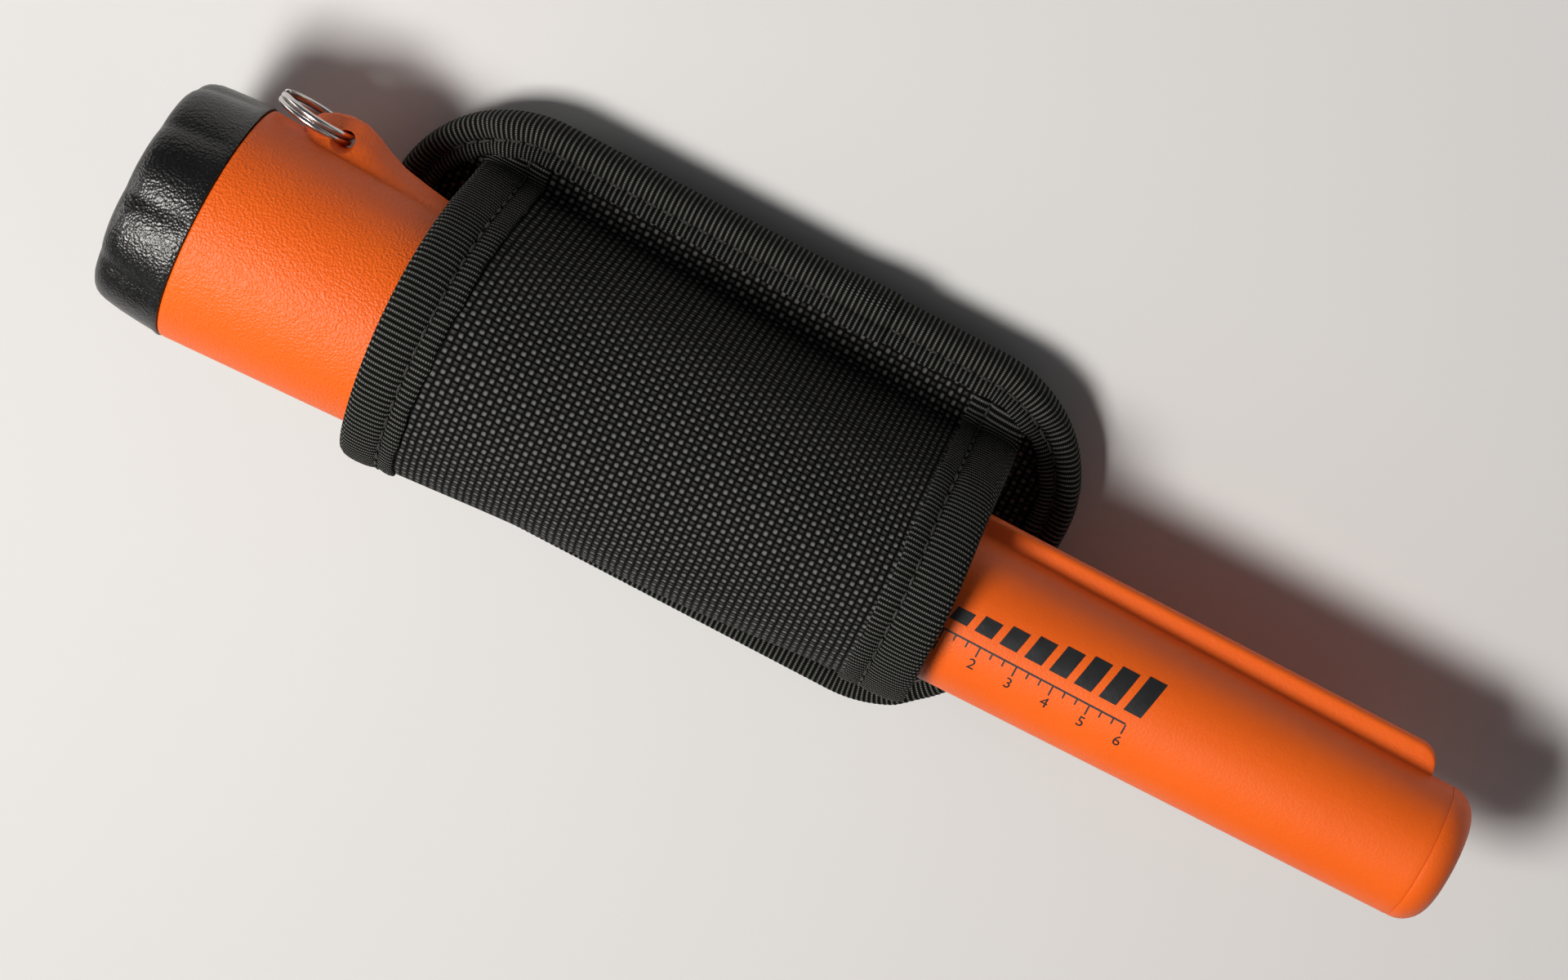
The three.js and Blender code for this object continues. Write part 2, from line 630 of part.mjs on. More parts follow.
// Belt loop: a strap that stands off the panel in the middle and is sewn down at both ends
const LOOP = { flat: 27, ramp: 6, tab: 8, thickness: 1.8, width: 44 };
function beltLoop() {
  const { flat, ramp, tab, thickness, width } = LOOP;
  const tabTop = AXIS_HEIGHT + PANEL.back - GAP;
  const tabLow = tabTop - thickness;
  const end = flat + ramp + tab;
  const side = new THREE.Shape();
  side.moveTo(-flat, 0);
  side.lineTo(flat, 0);
  side.bezierCurveTo(flat + ramp / 2, 0, flat + ramp / 2, tabLow, flat + ramp, tabLow);
  side.lineTo(end, tabLow);
  side.lineTo(end, tabTop);
  side.lineTo(flat + ramp - 1, tabTop);
  side.bezierCurveTo(flat + ramp / 2 - 1, tabTop, flat + ramp / 2 - 1, thickness, flat - 1, thickness);
  side.lineTo(-flat + 1, thickness);
  side.bezierCurveTo(-flat - ramp / 2 + 1, thickness, -flat - ramp / 2 + 1, tabTop, -flat - ramp + 1, tabTop);
  side.lineTo(-end, tabTop);
  side.lineTo(-end, tabLow);
  side.lineTo(-flat - ramp, tabLow);
  side.bezierCurveTo(-flat - ramp / 2, tabLow, -flat - ramp / 2, 0, -flat, 0);
  return new THREE.ExtrudeGeometry(side, { depth: width, bevelEnabled: false, curveSegments: 8 })
    .rotateX(Math.PI / 2)
    .translate(STATION_OF_ORIGIN, width / 2, -AXIS_HEIGHT);
}
add(holster, "belt_loop", beltLoop(), WEAVE);

const assembly = new THREE.Group();
assembly.add(probe, holster);
export default assembly;
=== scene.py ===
# %% [markdown]
# # A pinpointer probe in its belt holster
# The real object is a small hand-held metal detector: a moulded orange handle that narrows to a
# sensing tube, a black screw cap over the battery, a steel lanyard ring, and a holster sewn from
# ballistic nylon with ribbed tape round every edge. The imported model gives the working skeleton.
# This notebook dresses it, one piece at a time.

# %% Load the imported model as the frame
import json
import math

import bmesh
import bpy
from mathutils import Matrix, Vector


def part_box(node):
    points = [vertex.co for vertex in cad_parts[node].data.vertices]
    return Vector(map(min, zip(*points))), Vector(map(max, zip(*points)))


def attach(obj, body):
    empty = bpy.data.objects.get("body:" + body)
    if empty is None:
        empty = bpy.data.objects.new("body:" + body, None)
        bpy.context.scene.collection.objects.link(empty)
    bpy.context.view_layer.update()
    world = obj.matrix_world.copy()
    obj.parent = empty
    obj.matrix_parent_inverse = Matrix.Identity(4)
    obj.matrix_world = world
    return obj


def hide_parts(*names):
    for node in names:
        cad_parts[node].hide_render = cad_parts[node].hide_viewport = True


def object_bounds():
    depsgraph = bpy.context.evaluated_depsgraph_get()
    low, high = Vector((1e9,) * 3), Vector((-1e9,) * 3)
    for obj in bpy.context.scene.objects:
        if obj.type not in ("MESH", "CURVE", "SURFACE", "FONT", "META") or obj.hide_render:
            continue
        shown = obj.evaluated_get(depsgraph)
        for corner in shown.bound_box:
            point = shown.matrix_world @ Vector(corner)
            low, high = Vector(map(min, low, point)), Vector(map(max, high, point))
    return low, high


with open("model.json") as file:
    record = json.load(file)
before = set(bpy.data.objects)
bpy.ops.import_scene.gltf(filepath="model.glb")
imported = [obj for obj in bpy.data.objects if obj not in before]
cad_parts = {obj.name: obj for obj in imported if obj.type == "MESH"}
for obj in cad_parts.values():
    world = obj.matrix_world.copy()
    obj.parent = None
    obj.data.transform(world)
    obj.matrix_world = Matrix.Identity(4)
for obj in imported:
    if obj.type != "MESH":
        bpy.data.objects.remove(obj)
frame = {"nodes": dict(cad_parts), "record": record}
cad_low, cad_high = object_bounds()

nodes = frame["nodes"]
print(len(nodes), "packed nodes,", tuple(round(1000 * (b - a)) for a, b in zip(cad_low, cad_high)), "mm")

# %% [markdown]
# ## Two drawing boards
# Every piece is drawn in millimetres from the probe's own axis: x is the distance from the cap's
# outer end, and y and z are measured from the axis. The probe is rolled a little in its holster, so
# it has a drawing board of its own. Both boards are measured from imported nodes, so they stay right
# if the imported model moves.

# %% Find the probe's axis and its cap end
MM = 0.001
ROLL = math.radians(-20)
rod_low, rod_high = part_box("ferrite_rod")
AXIS_HEIGHT = (rod_low.z + rod_high.z) / 2
CAP_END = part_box("battery_cap")[0].x
HOLSTER_BOARD = Matrix.Translation((CAP_END, 0, AXIS_HEIGHT)) @ Matrix.Scale(MM, 4)
PROBE_BOARD = HOLSTER_BOARD @ Matrix.Rotation(ROLL, 4, "X")
LENGTH = (cad_high.x - cad_low.x) / MM
print("probe", round(LENGTH, 1), "mm long, axis", round(AXIS_HEIGHT / MM, 1), "mm above the floor")

# %% [markdown]
# ## The camera
# A long lens a good half metre away looks down on the sleeve from the side of the lanyard ring, and
# is turned so that the probe runs from upper left to lower right. It is placed from three measures:
# how far it is from the probe's axis, how far it leans to the side, and how much it is turned.

# %% Place the camera
LENS, DISTANCE = 90.8, 618 * MM
LEAN, TURN = math.radians(25.5), math.radians(27.58)
EYE_ALONG, AIM_ALONG, AIM_ACROSS = 119.9 * MM, 110.4 * MM, 3.9 * MM  # from the cap's end and the axis
across = Vector((0, math.cos(LEAN), -math.sin(LEAN)))
towards = Vector((0, math.sin(LEAN), math.cos(LEAN)))
axis_point = Vector((CAP_END, 0, AXIS_HEIGHT))
eye = axis_point + Vector((EYE_ALONG, 0, 0)) + towards * DISTANCE
aim = axis_point + Vector((AIM_ALONG, 0, 0)) + across * AIM_ACROSS
back = (eye - aim).normalized()
right = Vector((1, 0, 0)) * math.cos(TURN) + across * math.sin(TURN)
right = (right - back * right.dot(back)).normalized()
up = back.cross(right)
camera = bpy.data.objects.new("camera", bpy.data.cameras.new("camera"))
bpy.context.scene.collection.objects.link(camera)
camera.data.lens = LENS
camera.data.clip_start, camera.data.clip_end = 0.01, 20
camera.matrix_world = Matrix.Translation(eye) @ Matrix((right, up, back)).transposed().to_4x4()
bpy.context.scene.camera = camera
print("camera at", tuple(round(v, 3) for v in eye))

# %% [markdown]
# ## Node helpers
# A finish is a small tree of shader nodes. A few helpers keep the trees readable: one makes a node
# and plugs its inputs, and the others are the sums, mixes, noises and bumps that the finishes share.
# A number goes straight on its socket, and a socket is linked.

# %% Helpers for shader nodes
def node(tree, kind, inputs=None, **settings):
    made = tree.nodes.new("ShaderNode" + kind)
    for key, value in settings.items():
        setattr(made, key, value)
    for key, value in (inputs or {}).items():
        if isinstance(value, bpy.types.NodeSocket):
            tree.links.new(value, made.inputs[key])
        else:
            made.inputs[key].default_value = value
    return made


def maths(tree, operation, *values, clamp=False):
    return node(tree, "Math", dict(enumerate(values)), operation=operation, use_clamp=clamp).outputs[0]


def times(tree, first, second):
    return maths(tree, "MULTIPLY", first, second)


def power(tree, value, exponent):
    return maths(tree, "POWER", value, exponent)


def vectors(tree, operation, first, second):
    return node(tree, "VectorMath", {0: first, 1: second}, operation=operation).outputs[0]


def humps(tree, value):
    """Rises to 1 and falls back to 0 once in each whole step of value."""
    return maths(tree, "ABSOLUTE", maths(tree, "SINE", times(tree, value, math.pi)))


def ranged(tree, value, low, high, first=0.0, last=1.0):
    """Turns a value that runs from first to last into one that runs from low to high."""
    return node(tree, "MapRange", {"Value": value, "From Min": first, "From Max": last,
                                   "To Min": low, "To Max": high}).outputs[0]


def colours(tree, share, first, second):
    rgba = [c if isinstance(c, bpy.types.NodeSocket) else (*c, 1) for c in (first, second)]
    return node(tree, "Mix", {0: share, 6: rgba[0], 7: rgba[1]}, data_type="RGBA").outputs[2]


def bump(tree, height, distance, strength=1.0, below=None):
    inputs = {"Height": height, "Distance": distance, "Strength": strength}
    if below is not None:
        inputs["Normal"] = below
    return node(tree, "Bump", inputs).outputs["Normal"]


def new_finish(name, **sockets):
    made = bpy.data.materials.new(name)
    made.use_nodes = True
    tree = made.node_tree
    shader = tree.nodes["Principled BSDF"]
    for key, value in sockets.items():
        shader.inputs[key.replace("_", " ").title().replace("Ior", "IOR")].default_value = value
    return made, tree, shader


def plug(tree, shader, **sockets):
    for key, value in sockets.items():
        tree.links.new(value, shader.inputs[key.replace("_", " ").title()])


def noise(tree, where, scale, detail=3.0, roughness=0.5):
    inputs = {"Vector": where, "Scale": scale, "Detail": detail, "Roughness": roughness}
    return node(tree, "TexNoise", inputs)


def speckle(tree, scale, detail=3.0, where=None):
    """Noise measured in metres on the piece."""
    place = where or node(tree, "TexCoord").outputs["Object"]
    return noise(tree, place, scale, detail, 0.55).outputs["Fac"]


# %% [markdown]
# ## Moulded plastic
# The handle is moulded in a mould that was etched with a fine leather grain. The grain is small
# rounded cells with soft valleys, which a smooth Voronoi pattern gives, and noise keeps them from
# looking stamped. The tube is smoother than the handle, so the grain fades towards the tip.

# %% Orange plastic with fading grain
def grained(tree, cell, where=None):
    """Leather grain with cells of the given size."""
    place = where or node(tree, "TexCoord").outputs["Object"]
    wander = noise(tree, place, 1100.0, 2.0).outputs["Color"]
    jittered = vectors(tree, "ADD", place, vectors(tree, "MULTIPLY", wander, (0.0004, 0.0004, 0.0004)))
    return node(tree, "TexVoronoi", {"Vector": jittered, "Scale": 1 / cell, "Smoothness": 0.6},
                feature="SMOOTH_F1").outputs["Distance"]


def orange_finish():
    made, tree, shader = new_finish("orange_plastic", specular_ior_level=0.34)
    place = node(tree, "TexCoord").outputs["Object"]
    along = node(tree, "SeparateXYZ", {0: place}).outputs["X"]
    cells = grained(tree, 0.0004, place)
    height = times(tree, cells, ranged(tree, along, 1.0, 0.22, 0.0, 0.055))
    soft = bump(tree, speckle(tree, 420, 2.0, place), 0.00012, 0.35)
    plug(tree, shader, normal=bump(tree, height, 0.00014, 0.9, soft))
    tint = colours(tree, speckle(tree, 45, 3.0, place), (0.80, 0.108, 0.006), (0.87, 0.135, 0.009))
    scuff = noise(tree, place, 120.0, 6.0, 0.75).outputs["Fac"]
    worn = times(tree, maths(tree, "GREATER_THAN", scuff, 0.66), 0.12)
    plug(tree, shader, base_color=colours(tree, worn, tint, (0.93, 0.33, 0.10)))
    plug(tree, shader, roughness=ranged(tree, cells, 0.38, 0.52, 0.1, 0.6))
    return made


ORANGE = orange_finish()
print("finish:", ORANGE.name)

# %% [markdown]
# The cap has the same kind of grain, a little coarser and much glossier, so each cell catches the
# light. The plain blacks, whites and rubbers share one recipe and differ in colour and gloss.

# %% Black plastics
def black_grain_finish():
    made, tree, shader = new_finish("black_cap_plastic", base_color=(0.003, 0.003, 0.0032, 1),
                                    specular_ior_level=0.6)
    cells = grained(tree, 0.00042)
    soft = bump(tree, speckle(tree, 700, 3.0), 0.0001, 0.4)
    plug(tree, shader, normal=bump(tree, cells, 0.00012, 0.9, soft))
    plug(tree, shader, roughness=ranged(tree, speckle(tree, 90, 5.0), 0.3, 0.4, 0.35, 0.7))
    return made


def plain_finish(name, colour, roughness, scale=700, depth=0.0001, other=None, **more):
    """A plain part: a soft change of colour, a fine skin and a little wear in the gloss."""
    made, tree, shader = new_finish(name, **more)
    cloud = speckle(tree, 110, 4.0)
    plug(tree, shader, base_color=colours(tree, cloud, colour, other or [0.8 * c for c in colour]))
    gloss = ranged(tree, speckle(tree, 320, 4.0), 0.85 * roughness, min(1, 1.15 * roughness), 0.3, 0.7)
    plug(tree, shader, roughness=gloss, normal=bump(tree, speckle(tree, scale), depth, 0.5))
    return made


CAP_BLACK = black_grain_finish()
PLAIN_BLACK = plain_finish("black_plastic", (0.02, 0.02, 0.021), 0.5, 1400)
RUBBER = plain_finish("rubber", (0.022, 0.022, 0.023), 0.78, 1800, 0.00015)
FOAM = plain_finish("foam", (0.045, 0.045, 0.048), 0.95, 2600, 0.0004)
INK = plain_finish("printed_ink", (0.016, 0.016, 0.018), 0.42, 1500, 0.00006)
JACKET = plain_finish("battery_jacket", (0.03, 0.03, 0.034), 0.35, 500, 0.00004)
WHITE = plain_finish("white_plastic", (0.72, 0.70, 0.66), 0.5, 900)
LAMINATE = plain_finish("circuit_laminate", (0.03, 0.14, 0.055), 0.33, 1600, 0.00005, (0.02, 0.10, 0.04))
FERRITE = plain_finish("ferrite", (0.05, 0.049, 0.047), 0.72, 1200, 0.00012)
print("finishes:", CAP_BLACK.name, PLAIN_BLACK.name, RUBBER.name)

# %% [markdown]
# Steel needs little colour of its own: it shows the room. Fine brushed lines run along the wire, so
# the noise is stretched. Copper windings get fine grooves across the coil, one for each turn.

# %% Metals and glass
def steel_finish(name, colour, roughness):
    made, tree, shader = new_finish(name, base_color=(*colour, 1), metallic=1.0)
    lines = node(tree, "Mapping", {"Vector": node(tree, "TexCoord").outputs["Object"],
                                   "Scale": (400, 3000, 3000)}).outputs[0]
    drawn = noise(tree, lines, 1.0, 4.0).outputs["Fac"]
    plug(tree, shader, roughness=ranged(tree, drawn, 0.85 * roughness, 1.2 * roughness),
         normal=bump(tree, drawn, 0.000004, 0.1))
    return made


def copper_finish():
    made, tree, shader = new_finish("copper", metallic=1.0, roughness=0.32)
    place = node(tree, "TexCoord").outputs["Object"]
    turns = node(tree, "TexWave", {"Vector": place, "Scale": 420.0, "Distortion": 0.0},
                 bands_direction="X", wave_profile="SIN").outputs["Fac"]
    # The grooves between turns are painted darker than the ridges: painted shade in the grooves.
    plug(tree, shader, base_color=colours(tree, turns, (0.30, 0.09, 0.03), (0.72, 0.30, 0.12)),
         normal=bump(tree, turns, 0.0002, 0.8))
    return made


def lens_finish():
    made, tree, shader = new_finish("clear_lens", base_color=(0.93, 0.96, 0.98, 1),
                                    transmission_weight=0.85, ior=1.49)
    plug(tree, shader, roughness=ranged(tree, speckle(tree, 900, 3.0), 0.04, 0.16))
    return made


STEEL = steel_finish("plated_steel", (0.60, 0.60, 0.61), 0.3)
RING_STEEL = steel_finish("ring_steel", (0.60, 0.57, 0.56), 0.24)
COPPER, LENS_CLEAR = copper_finish(), lens_finish()
print("finishes:", STEEL.name, RING_STEEL.name, COPPER.name, LENS_CLEAR.name)

# %% [markdown]
# ## Woven cloth
# Ballistic nylon is a basket weave: two yarns pass over two, so the cloth is a chequerboard of
# little floats, one square running along the sleeve and the next across it. Each square is two
# rounded yarns that rise over the yarns beneath and dive at both ends. The sums below draw that from
# a UV map in millimetres, so the weave follows the cloth round the arch and never slides.

# %% Basket weave from a UV map in millimetres
YARN_ACROSS, YARN_ALONG = 0.5, 0.61  # one yarn's width across the sleeve and along it


def float_of_yarns(tree, side, run):
    """Height and shine of the yarns in one square: side counts yarns across it, run along it."""
    notch = maths(tree, "MULTIPLY_ADD", power(tree, humps(tree, side), 0.5), 0.38, 0.62)
    pair, arch = (maths(tree, "SINE", times(tree, maths(tree, "FRACT", times(tree, way, 0.5)), math.pi))
                  for way in (side, run))
    height = times(tree, power(tree, pair, 0.7), times(tree, notch, arch))
    return height, times(tree, power(tree, pair, 3.2), power(tree, arch, 1.4))


def weave_finish(name, dark, light):
    made, tree, shader = new_finish(name, specular_ior_level=0.15)
    flat = node(tree, "UVMap", uv_map="fabric").outputs[0]
    wander = vectors(tree, "SUBTRACT", noise(tree, flat, 0.35, 2.0).outputs["Color"], (0.5, 0.5, 0.5))
    cloth = vectors(tree, "ADD", flat, vectors(tree, "MULTIPLY", wander, (0.35, 0.35, 0.0)))
    parts = node(tree, "SeparateXYZ", {0: cloth})
    u = maths(tree, "DIVIDE", parts.outputs["X"], YARN_ACROSS)
    v = maths(tree, "DIVIDE", parts.outputs["Y"], YARN_ALONG)
    squares = maths(tree, "ADD", *(maths(tree, "FLOOR", times(tree, way, 0.5)) for way in (u, v)))
    warp_up = maths(tree, "GREATER_THAN", maths(tree, "FRACT", times(tree, squares, 0.5)), 0.25)
    (warp, warp_shine), (weft, weft_shine) = float_of_yarns(tree, u, v), float_of_yarns(tree, v, u)
    height = node(tree, "Mix", {0: warp_up, 2: weft, 3: warp}).outputs[0]
    crown = node(tree, "Mix", {0: warp_up, 2: weft_shine, 3: warp_shine}).outputs[0]
    fibres = noise(tree, cloth, 9.0).outputs["Fac"]
    plug(tree, shader, normal=bump(tree, maths(tree, "MULTIPLY_ADD", fibres, 0.12, height), 0.00034))
    cloud = maths(tree, "MULTIPLY_ADD", noise(tree, flat, 0.06, 2.0).outputs["Fac"], 0.5, 0.85)
    across = maths(tree, "MULTIPLY_ADD", warp_up, -0.95, 1.3)  # floats across the sleeve face the light
    lit = maths(tree, "MULTIPLY", times(tree, crown, across), cloud, clamp=True)
    # Painted light and shade: the colour runs from near black in the hollows between yarns (painted shade)
    # to grey on the yarns' crowns (painted highlight). Floats across the sleeve are painted lighter because
    # they face the light.
    plug(tree, shader, base_color=colours(tree, lit, dark, light))
    plug(tree, shader, roughness=ranged(tree, power(tree, height, 2.0), 1.0, 0.36))
    return made


WEAVE = weave_finish("nylon_weave", (0.0003, 0.0006, 0.0004), (0.15, 0.15, 0.145))
PANEL_WEAVE = weave_finish("nylon_weave_panel", (0.0008, 0.0009, 0.0009), (0.10, 0.10, 0.10))
print("weave:", 2 * YARN_ACROSS, "by", 2 * YARN_ALONG, "mm squares")

# %% [markdown]
# The binding is ribbed tape. Its ribs are wide enough to be real shape in the mesh, and what is left
# for the finish is the fine thread that wraps each rib: a row of tiny beads along it.

# %% Ribbed tape and sewing thread
RIB, BEAD = 0.9, 0.36  # width of one rib of the tape, and of one bead of thread along it


def tape_finish(name, dark, light):
    made, tree, shader = new_finish(name, specular_ior_level=0.15)
    flat = node(tree, "UVMap", uv_map="fabric").outputs[0]
    parts = node(tree, "SeparateXYZ", {0: flat})
    rib = maths(tree, "DIVIDE", parts.outputs["X"], RIB)
    crown = humps(tree, rib)
    odd = times(tree, maths(tree, "FLOOR", rib), 0.5)
    bead = humps(tree, maths(tree, "ADD", maths(tree, "DIVIDE", parts.outputs["Y"], BEAD), odd))
    fibres = noise(tree, flat, 7.0).outputs["Fac"]
    height = maths(tree, "MULTIPLY_ADD", fibres, 0.35, times(tree, bead, crown))
    plug(tree, shader, normal=bump(tree, height, 0.00014, 0.9))
    # Painted light and shade: the rib crowns and the thread beads on them are painted light grey (painted
    # highlight), and the hollows between ribs are painted near black (painted shade).
    shine = maths(tree, "MULTIPLY_ADD", power(tree, bead, 1.5), 0.85, 0.15)
    lit = times(tree, power(tree, crown, 7.0), shine)
    plug(tree, shader, base_color=colours(tree, lit, dark, light))
    plug(tree, shader, roughness=ranged(tree, lit, 0.95, 0.36))
    return made


TAPE = tape_finish("nylon_tape", (0.0004, 0.0007, 0.0004), (0.165, 0.168, 0.154))
THREAD = plain_finish("sewing_thread", (0.03, 0.03, 0.028), 0.5, 4000, 0.0002, specular_ior_level=0.3)
print("tape with ribs", RIB, "mm wide")

# %% [markdown]
# ## Mesh helpers
# Almost every soft or moulded piece here is a sheet of quads bent to shape. The sheet starts as
# bmesh's own grid, its UV map is written in millimetres while it is still flat, and then each corner
# is moved to its place. Where the sheet's edges meet, merging doubles closes it.

# %% Helpers that make pieces
def bent_sheet(columns, rows, place, flat=None):
    """A grid whose corner (i, j) goes to place(i, j). flat(i, j) gives its UV in millimetres."""
    bm = bmesh.new()
    uv = bm.loops.layers.uv.new("fabric")
    bmesh.ops.create_grid(bm, x_segments=columns, y_segments=rows, size=1)
    cell = {v: (round((v.co.x + 1) / 2 * columns), round((v.co.y + 1) / 2 * rows)) for v in bm.verts}
    if flat:
        for face in bm.faces:
            for corner in face.loops:
                corner[uv].uv = flat(*cell[corner.vert])
    for v in bm.verts:
        v.co = place(*cell[v])
    return bm


def turned(profile, steps=64):
    """A shape turned about x from [x, radius] points."""
    bm = bmesh.new()
    line = [bm.verts.new((x, r, 0)) for x, r in profile]
    edges = [bm.edges.new(pair) for pair in zip(line, line[1:])]
    bmesh.ops.spin(bm, geom=line + edges, cent=(0, 0, 0), axis=(1, 0, 0), angle=2 * math.pi, steps=steps,
                   use_merge=True)
    return bm


def closed(bm, merge=1e-4):
    """Joins a sheet where its edges meet and fills the ends that stay open."""
    bmesh.ops.remove_doubles(bm, verts=bm.verts, dist=merge)
    bmesh.ops.holes_fill(bm, edges=[e for e in bm.edges if e.is_boundary], sides=0)
    return bm


def joined(*parts):
    """Several bmeshes as one."""
    whole = bmesh.new()
    for part in parts:
        scratch = bpy.data.meshes.new("scratch")
        part.to_mesh(scratch)
        part.free()
        whole.from_mesh(scratch)
        bpy.data.meshes.remove(scratch)
    return whole


def piece(bm, name, board, body, finish, replaces=(), merge=2e-3, sharp=38):
    """Puts a bmesh on its drawing board's place, closes it, and makes it ride a body."""
    bmesh.ops.remove_doubles(bm, verts=bm.verts, dist=merge)
    bm.transform(board)
    bmesh.ops.recalc_face_normals(bm, faces=bm.faces)
    mesh = bpy.data.meshes.new(name)
    bm.to_mesh(mesh)
    bm.free()
    mesh.polygons.foreach_set("use_smooth", [True] * len(mesh.polygons))
    mesh.set_sharp_from_angle(angle=math.radians(sharp))
    mesh.materials.append(finish)
    made = bpy.data.objects.new(name, mesh)
    bpy.context.scene.collection.objects.link(made)
    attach(made, body)
    if replaces:
        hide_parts(*replaces)
    print(name, len(mesh.polygons), "faces")
    return made


def carve(obj, cutter_bm, board):
    """Cuts the closed shapes of a bmesh out of a finished piece."""
    cutter_bm.transform(board)
    bmesh.ops.remove_doubles(cutter_bm, verts=cutter_bm.verts, dist=1e-6)
    bmesh.ops.recalc_face_normals(cutter_bm, faces=cutter_bm.faces)
    mesh = bpy.data.meshes.new("cutter")
    cutter_bm.to_mesh(mesh)
    cutter = bpy.data.objects.new("cutter", mesh)
    bpy.context.scene.collection.objects.link(cutter)
    tool = obj.modifiers.new("holes", "BOOLEAN")
    tool.operation, tool.solver, tool.object = "DIFFERENCE", "EXACT", cutter
    bpy.context.view_layer.update()
    whole = obj.evaluated_get(bpy.context.evaluated_depsgraph_get())
    cut = bpy.data.meshes.new_from_object(whole)
    obj.modifiers.clear()
    old, obj.data = obj.data, cut
    bpy.data.meshes.remove(old)
    bpy.data.objects.remove(cutter)
    print(obj.name, "carved to", len(cut.polygons), "faces")


def smooth(a, b, x):
    """0 below a, 1 above b, and a soft curve between."""
    t = min(1, max(0, (x - a) / (b - a)))
    return t * t * (3 - 2 * t)


def hidden_finish(slot_name, finish):
    """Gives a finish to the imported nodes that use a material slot."""
    named = [s["node"] for s in frame["record"]["subparts"] if s["material_slot"] == slot_name]
    for name in named:
        nodes[name].data.materials.clear()
        nodes[name].data.materials.append(finish)
    print(slot_name, "on", len(named), "packed nodes")


# %% [markdown]
# ## The inner works
# The electronics bay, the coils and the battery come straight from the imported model, because their
# shapes are already right. They only need their finishes.

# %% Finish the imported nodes
for slot_name, finish in {
    "orange_plastic": ORANGE, "black_plastic": PLAIN_BLACK, "rubber": RUBBER, "foam": FOAM,
    "battery_jacket": JACKET, "plated_steel": STEEL, "ring_steel": RING_STEEL,
    "circuit_laminate": LAMINATE, "white_plastic": WHITE, "copper": COPPER, "ferrite": FERRITE,
    "clear_lens": LENS_CLEAR, "nylon_weave": PANEL_WEAVE, "nylon_tape": TAPE,
}.items():
    hidden_finish(slot_name, finish)

# %% [markdown]
# ## The housing
# Handle, shoulder, tube, lanyard eye and scraping blade are one moulding, with soft fillets where
# they meet. One sheet is wrapped round the axis, and each ring of it follows the outline at its own
# station: a circle that swells into a fin at the eye and the blade, and into a barrel at the lamp.
# The columns crowd together at the fin's walls, so its edges stay round without a dense mesh
# everywhere. The sheet then turns back inside to make the bore.

# %% Outline of the housing
MOUTH, SHOULDER = 12.5, (99, 113)
BLADE_END, BLADE_CORNER = 220, 3.3


def skin_radius(s):
    handle = 19.78 - 0.042 * (s - MOUTH)
    tube = 12.8 - 1.55 * (s - 113) / 111
    drop = smooth(*SHOULDER, s)
    return handle * (1 - drop) + tube * drop if s < SHOULDER[1] else tube


EYE_TOP = [(16.6, 17.0), (17.3, 19.5), (18, 21.3), (19.4, 22.9), (21.5, 24.0), (24, 24.6), (26.5, 24.55),
           (29, 23.7), (31.9, 22.3), (35, 21.15), (39.2, 20.35), (44, 19.6), (50, 18.75), (60, 17.0)]


def along_points(points, s):
    """The value at s on a line through [s, value] points."""
    if s <= points[0][0]:
        return points[0][1]
    for (a, low), (b, high) in zip(points, points[1:]):
        if s <= b:
            return low + (high - low) * (s - a) / (b - a)
    return points[-1][1]


def fin_top(s):
    """Top radius of the fin on the ring's side: the lanyard eye, then the scraping blade."""
    if s < 62:
        return along_points(EYE_TOP, s)
    if s < 100:
        return 0
    rise = 11.5 + 4.05 * smooth(100, 106, s)
    fall = s - (BLADE_END - BLADE_CORNER)
    drop = BLADE_CORNER - math.sqrt(max(0, BLADE_CORNER**2 - fall**2)) if fall > 0 else 0
    return rise - drop if s < BLADE_END - 0.01 else 0


def barrel_top(s):
    """Top radius of the lamp's barrel."""
    return 16.5 if 95 < s < 113.5 else 0


def swelling(s, top, half, edge, root):
    """Half outline of a fin that stands on the skin: (sideways, outwards) points from its middle out."""
    radius = skin_radius(s)
    foot = math.sqrt(radius**2 - half**2)
    wall = top - foot
    lift = smooth(0, 0.5, wall)
    edge, root = min(edge, max(0.0, wall) * 0.6) + 1e-3, min(root, max(0.0, wall) * 0.4) + 1e-3
    points = [((half - edge) * k / 3, top - 0.05 * (k / 3) ** 2) for k in range(3)]
    points += [(half - edge + edge * math.sin(a), top - edge + edge * math.cos(a))
               for a in (math.pi / 10 * k for k in range(6))]
    points.append((half, (top - edge + foot + root) / 2))
    points += [(half + root - root * math.cos(a), foot + root - root * math.sin(a))
               for a in (math.pi / 8 * k for k in range(5))]
    on_skin = [(x, math.sqrt(radius**2 - x * x)) for x, _ in points]
    return [(x, skin + (y - skin) * lift if y > skin or k > 9 else skin)
            for k, ((x, y), (_, skin)) in enumerate(zip(points, on_skin))]


EYE_SPREAD = math.radians(18.5)  # how far round the handle the lanyard eye's foot reaches


def eye_spread(s):
    start = math.sqrt(max(0, 1 - max(0, 22.4 - s) ** 2 / 4.4**2))
    return EYE_SPREAD * start * (1 - smooth(48, 60, s))


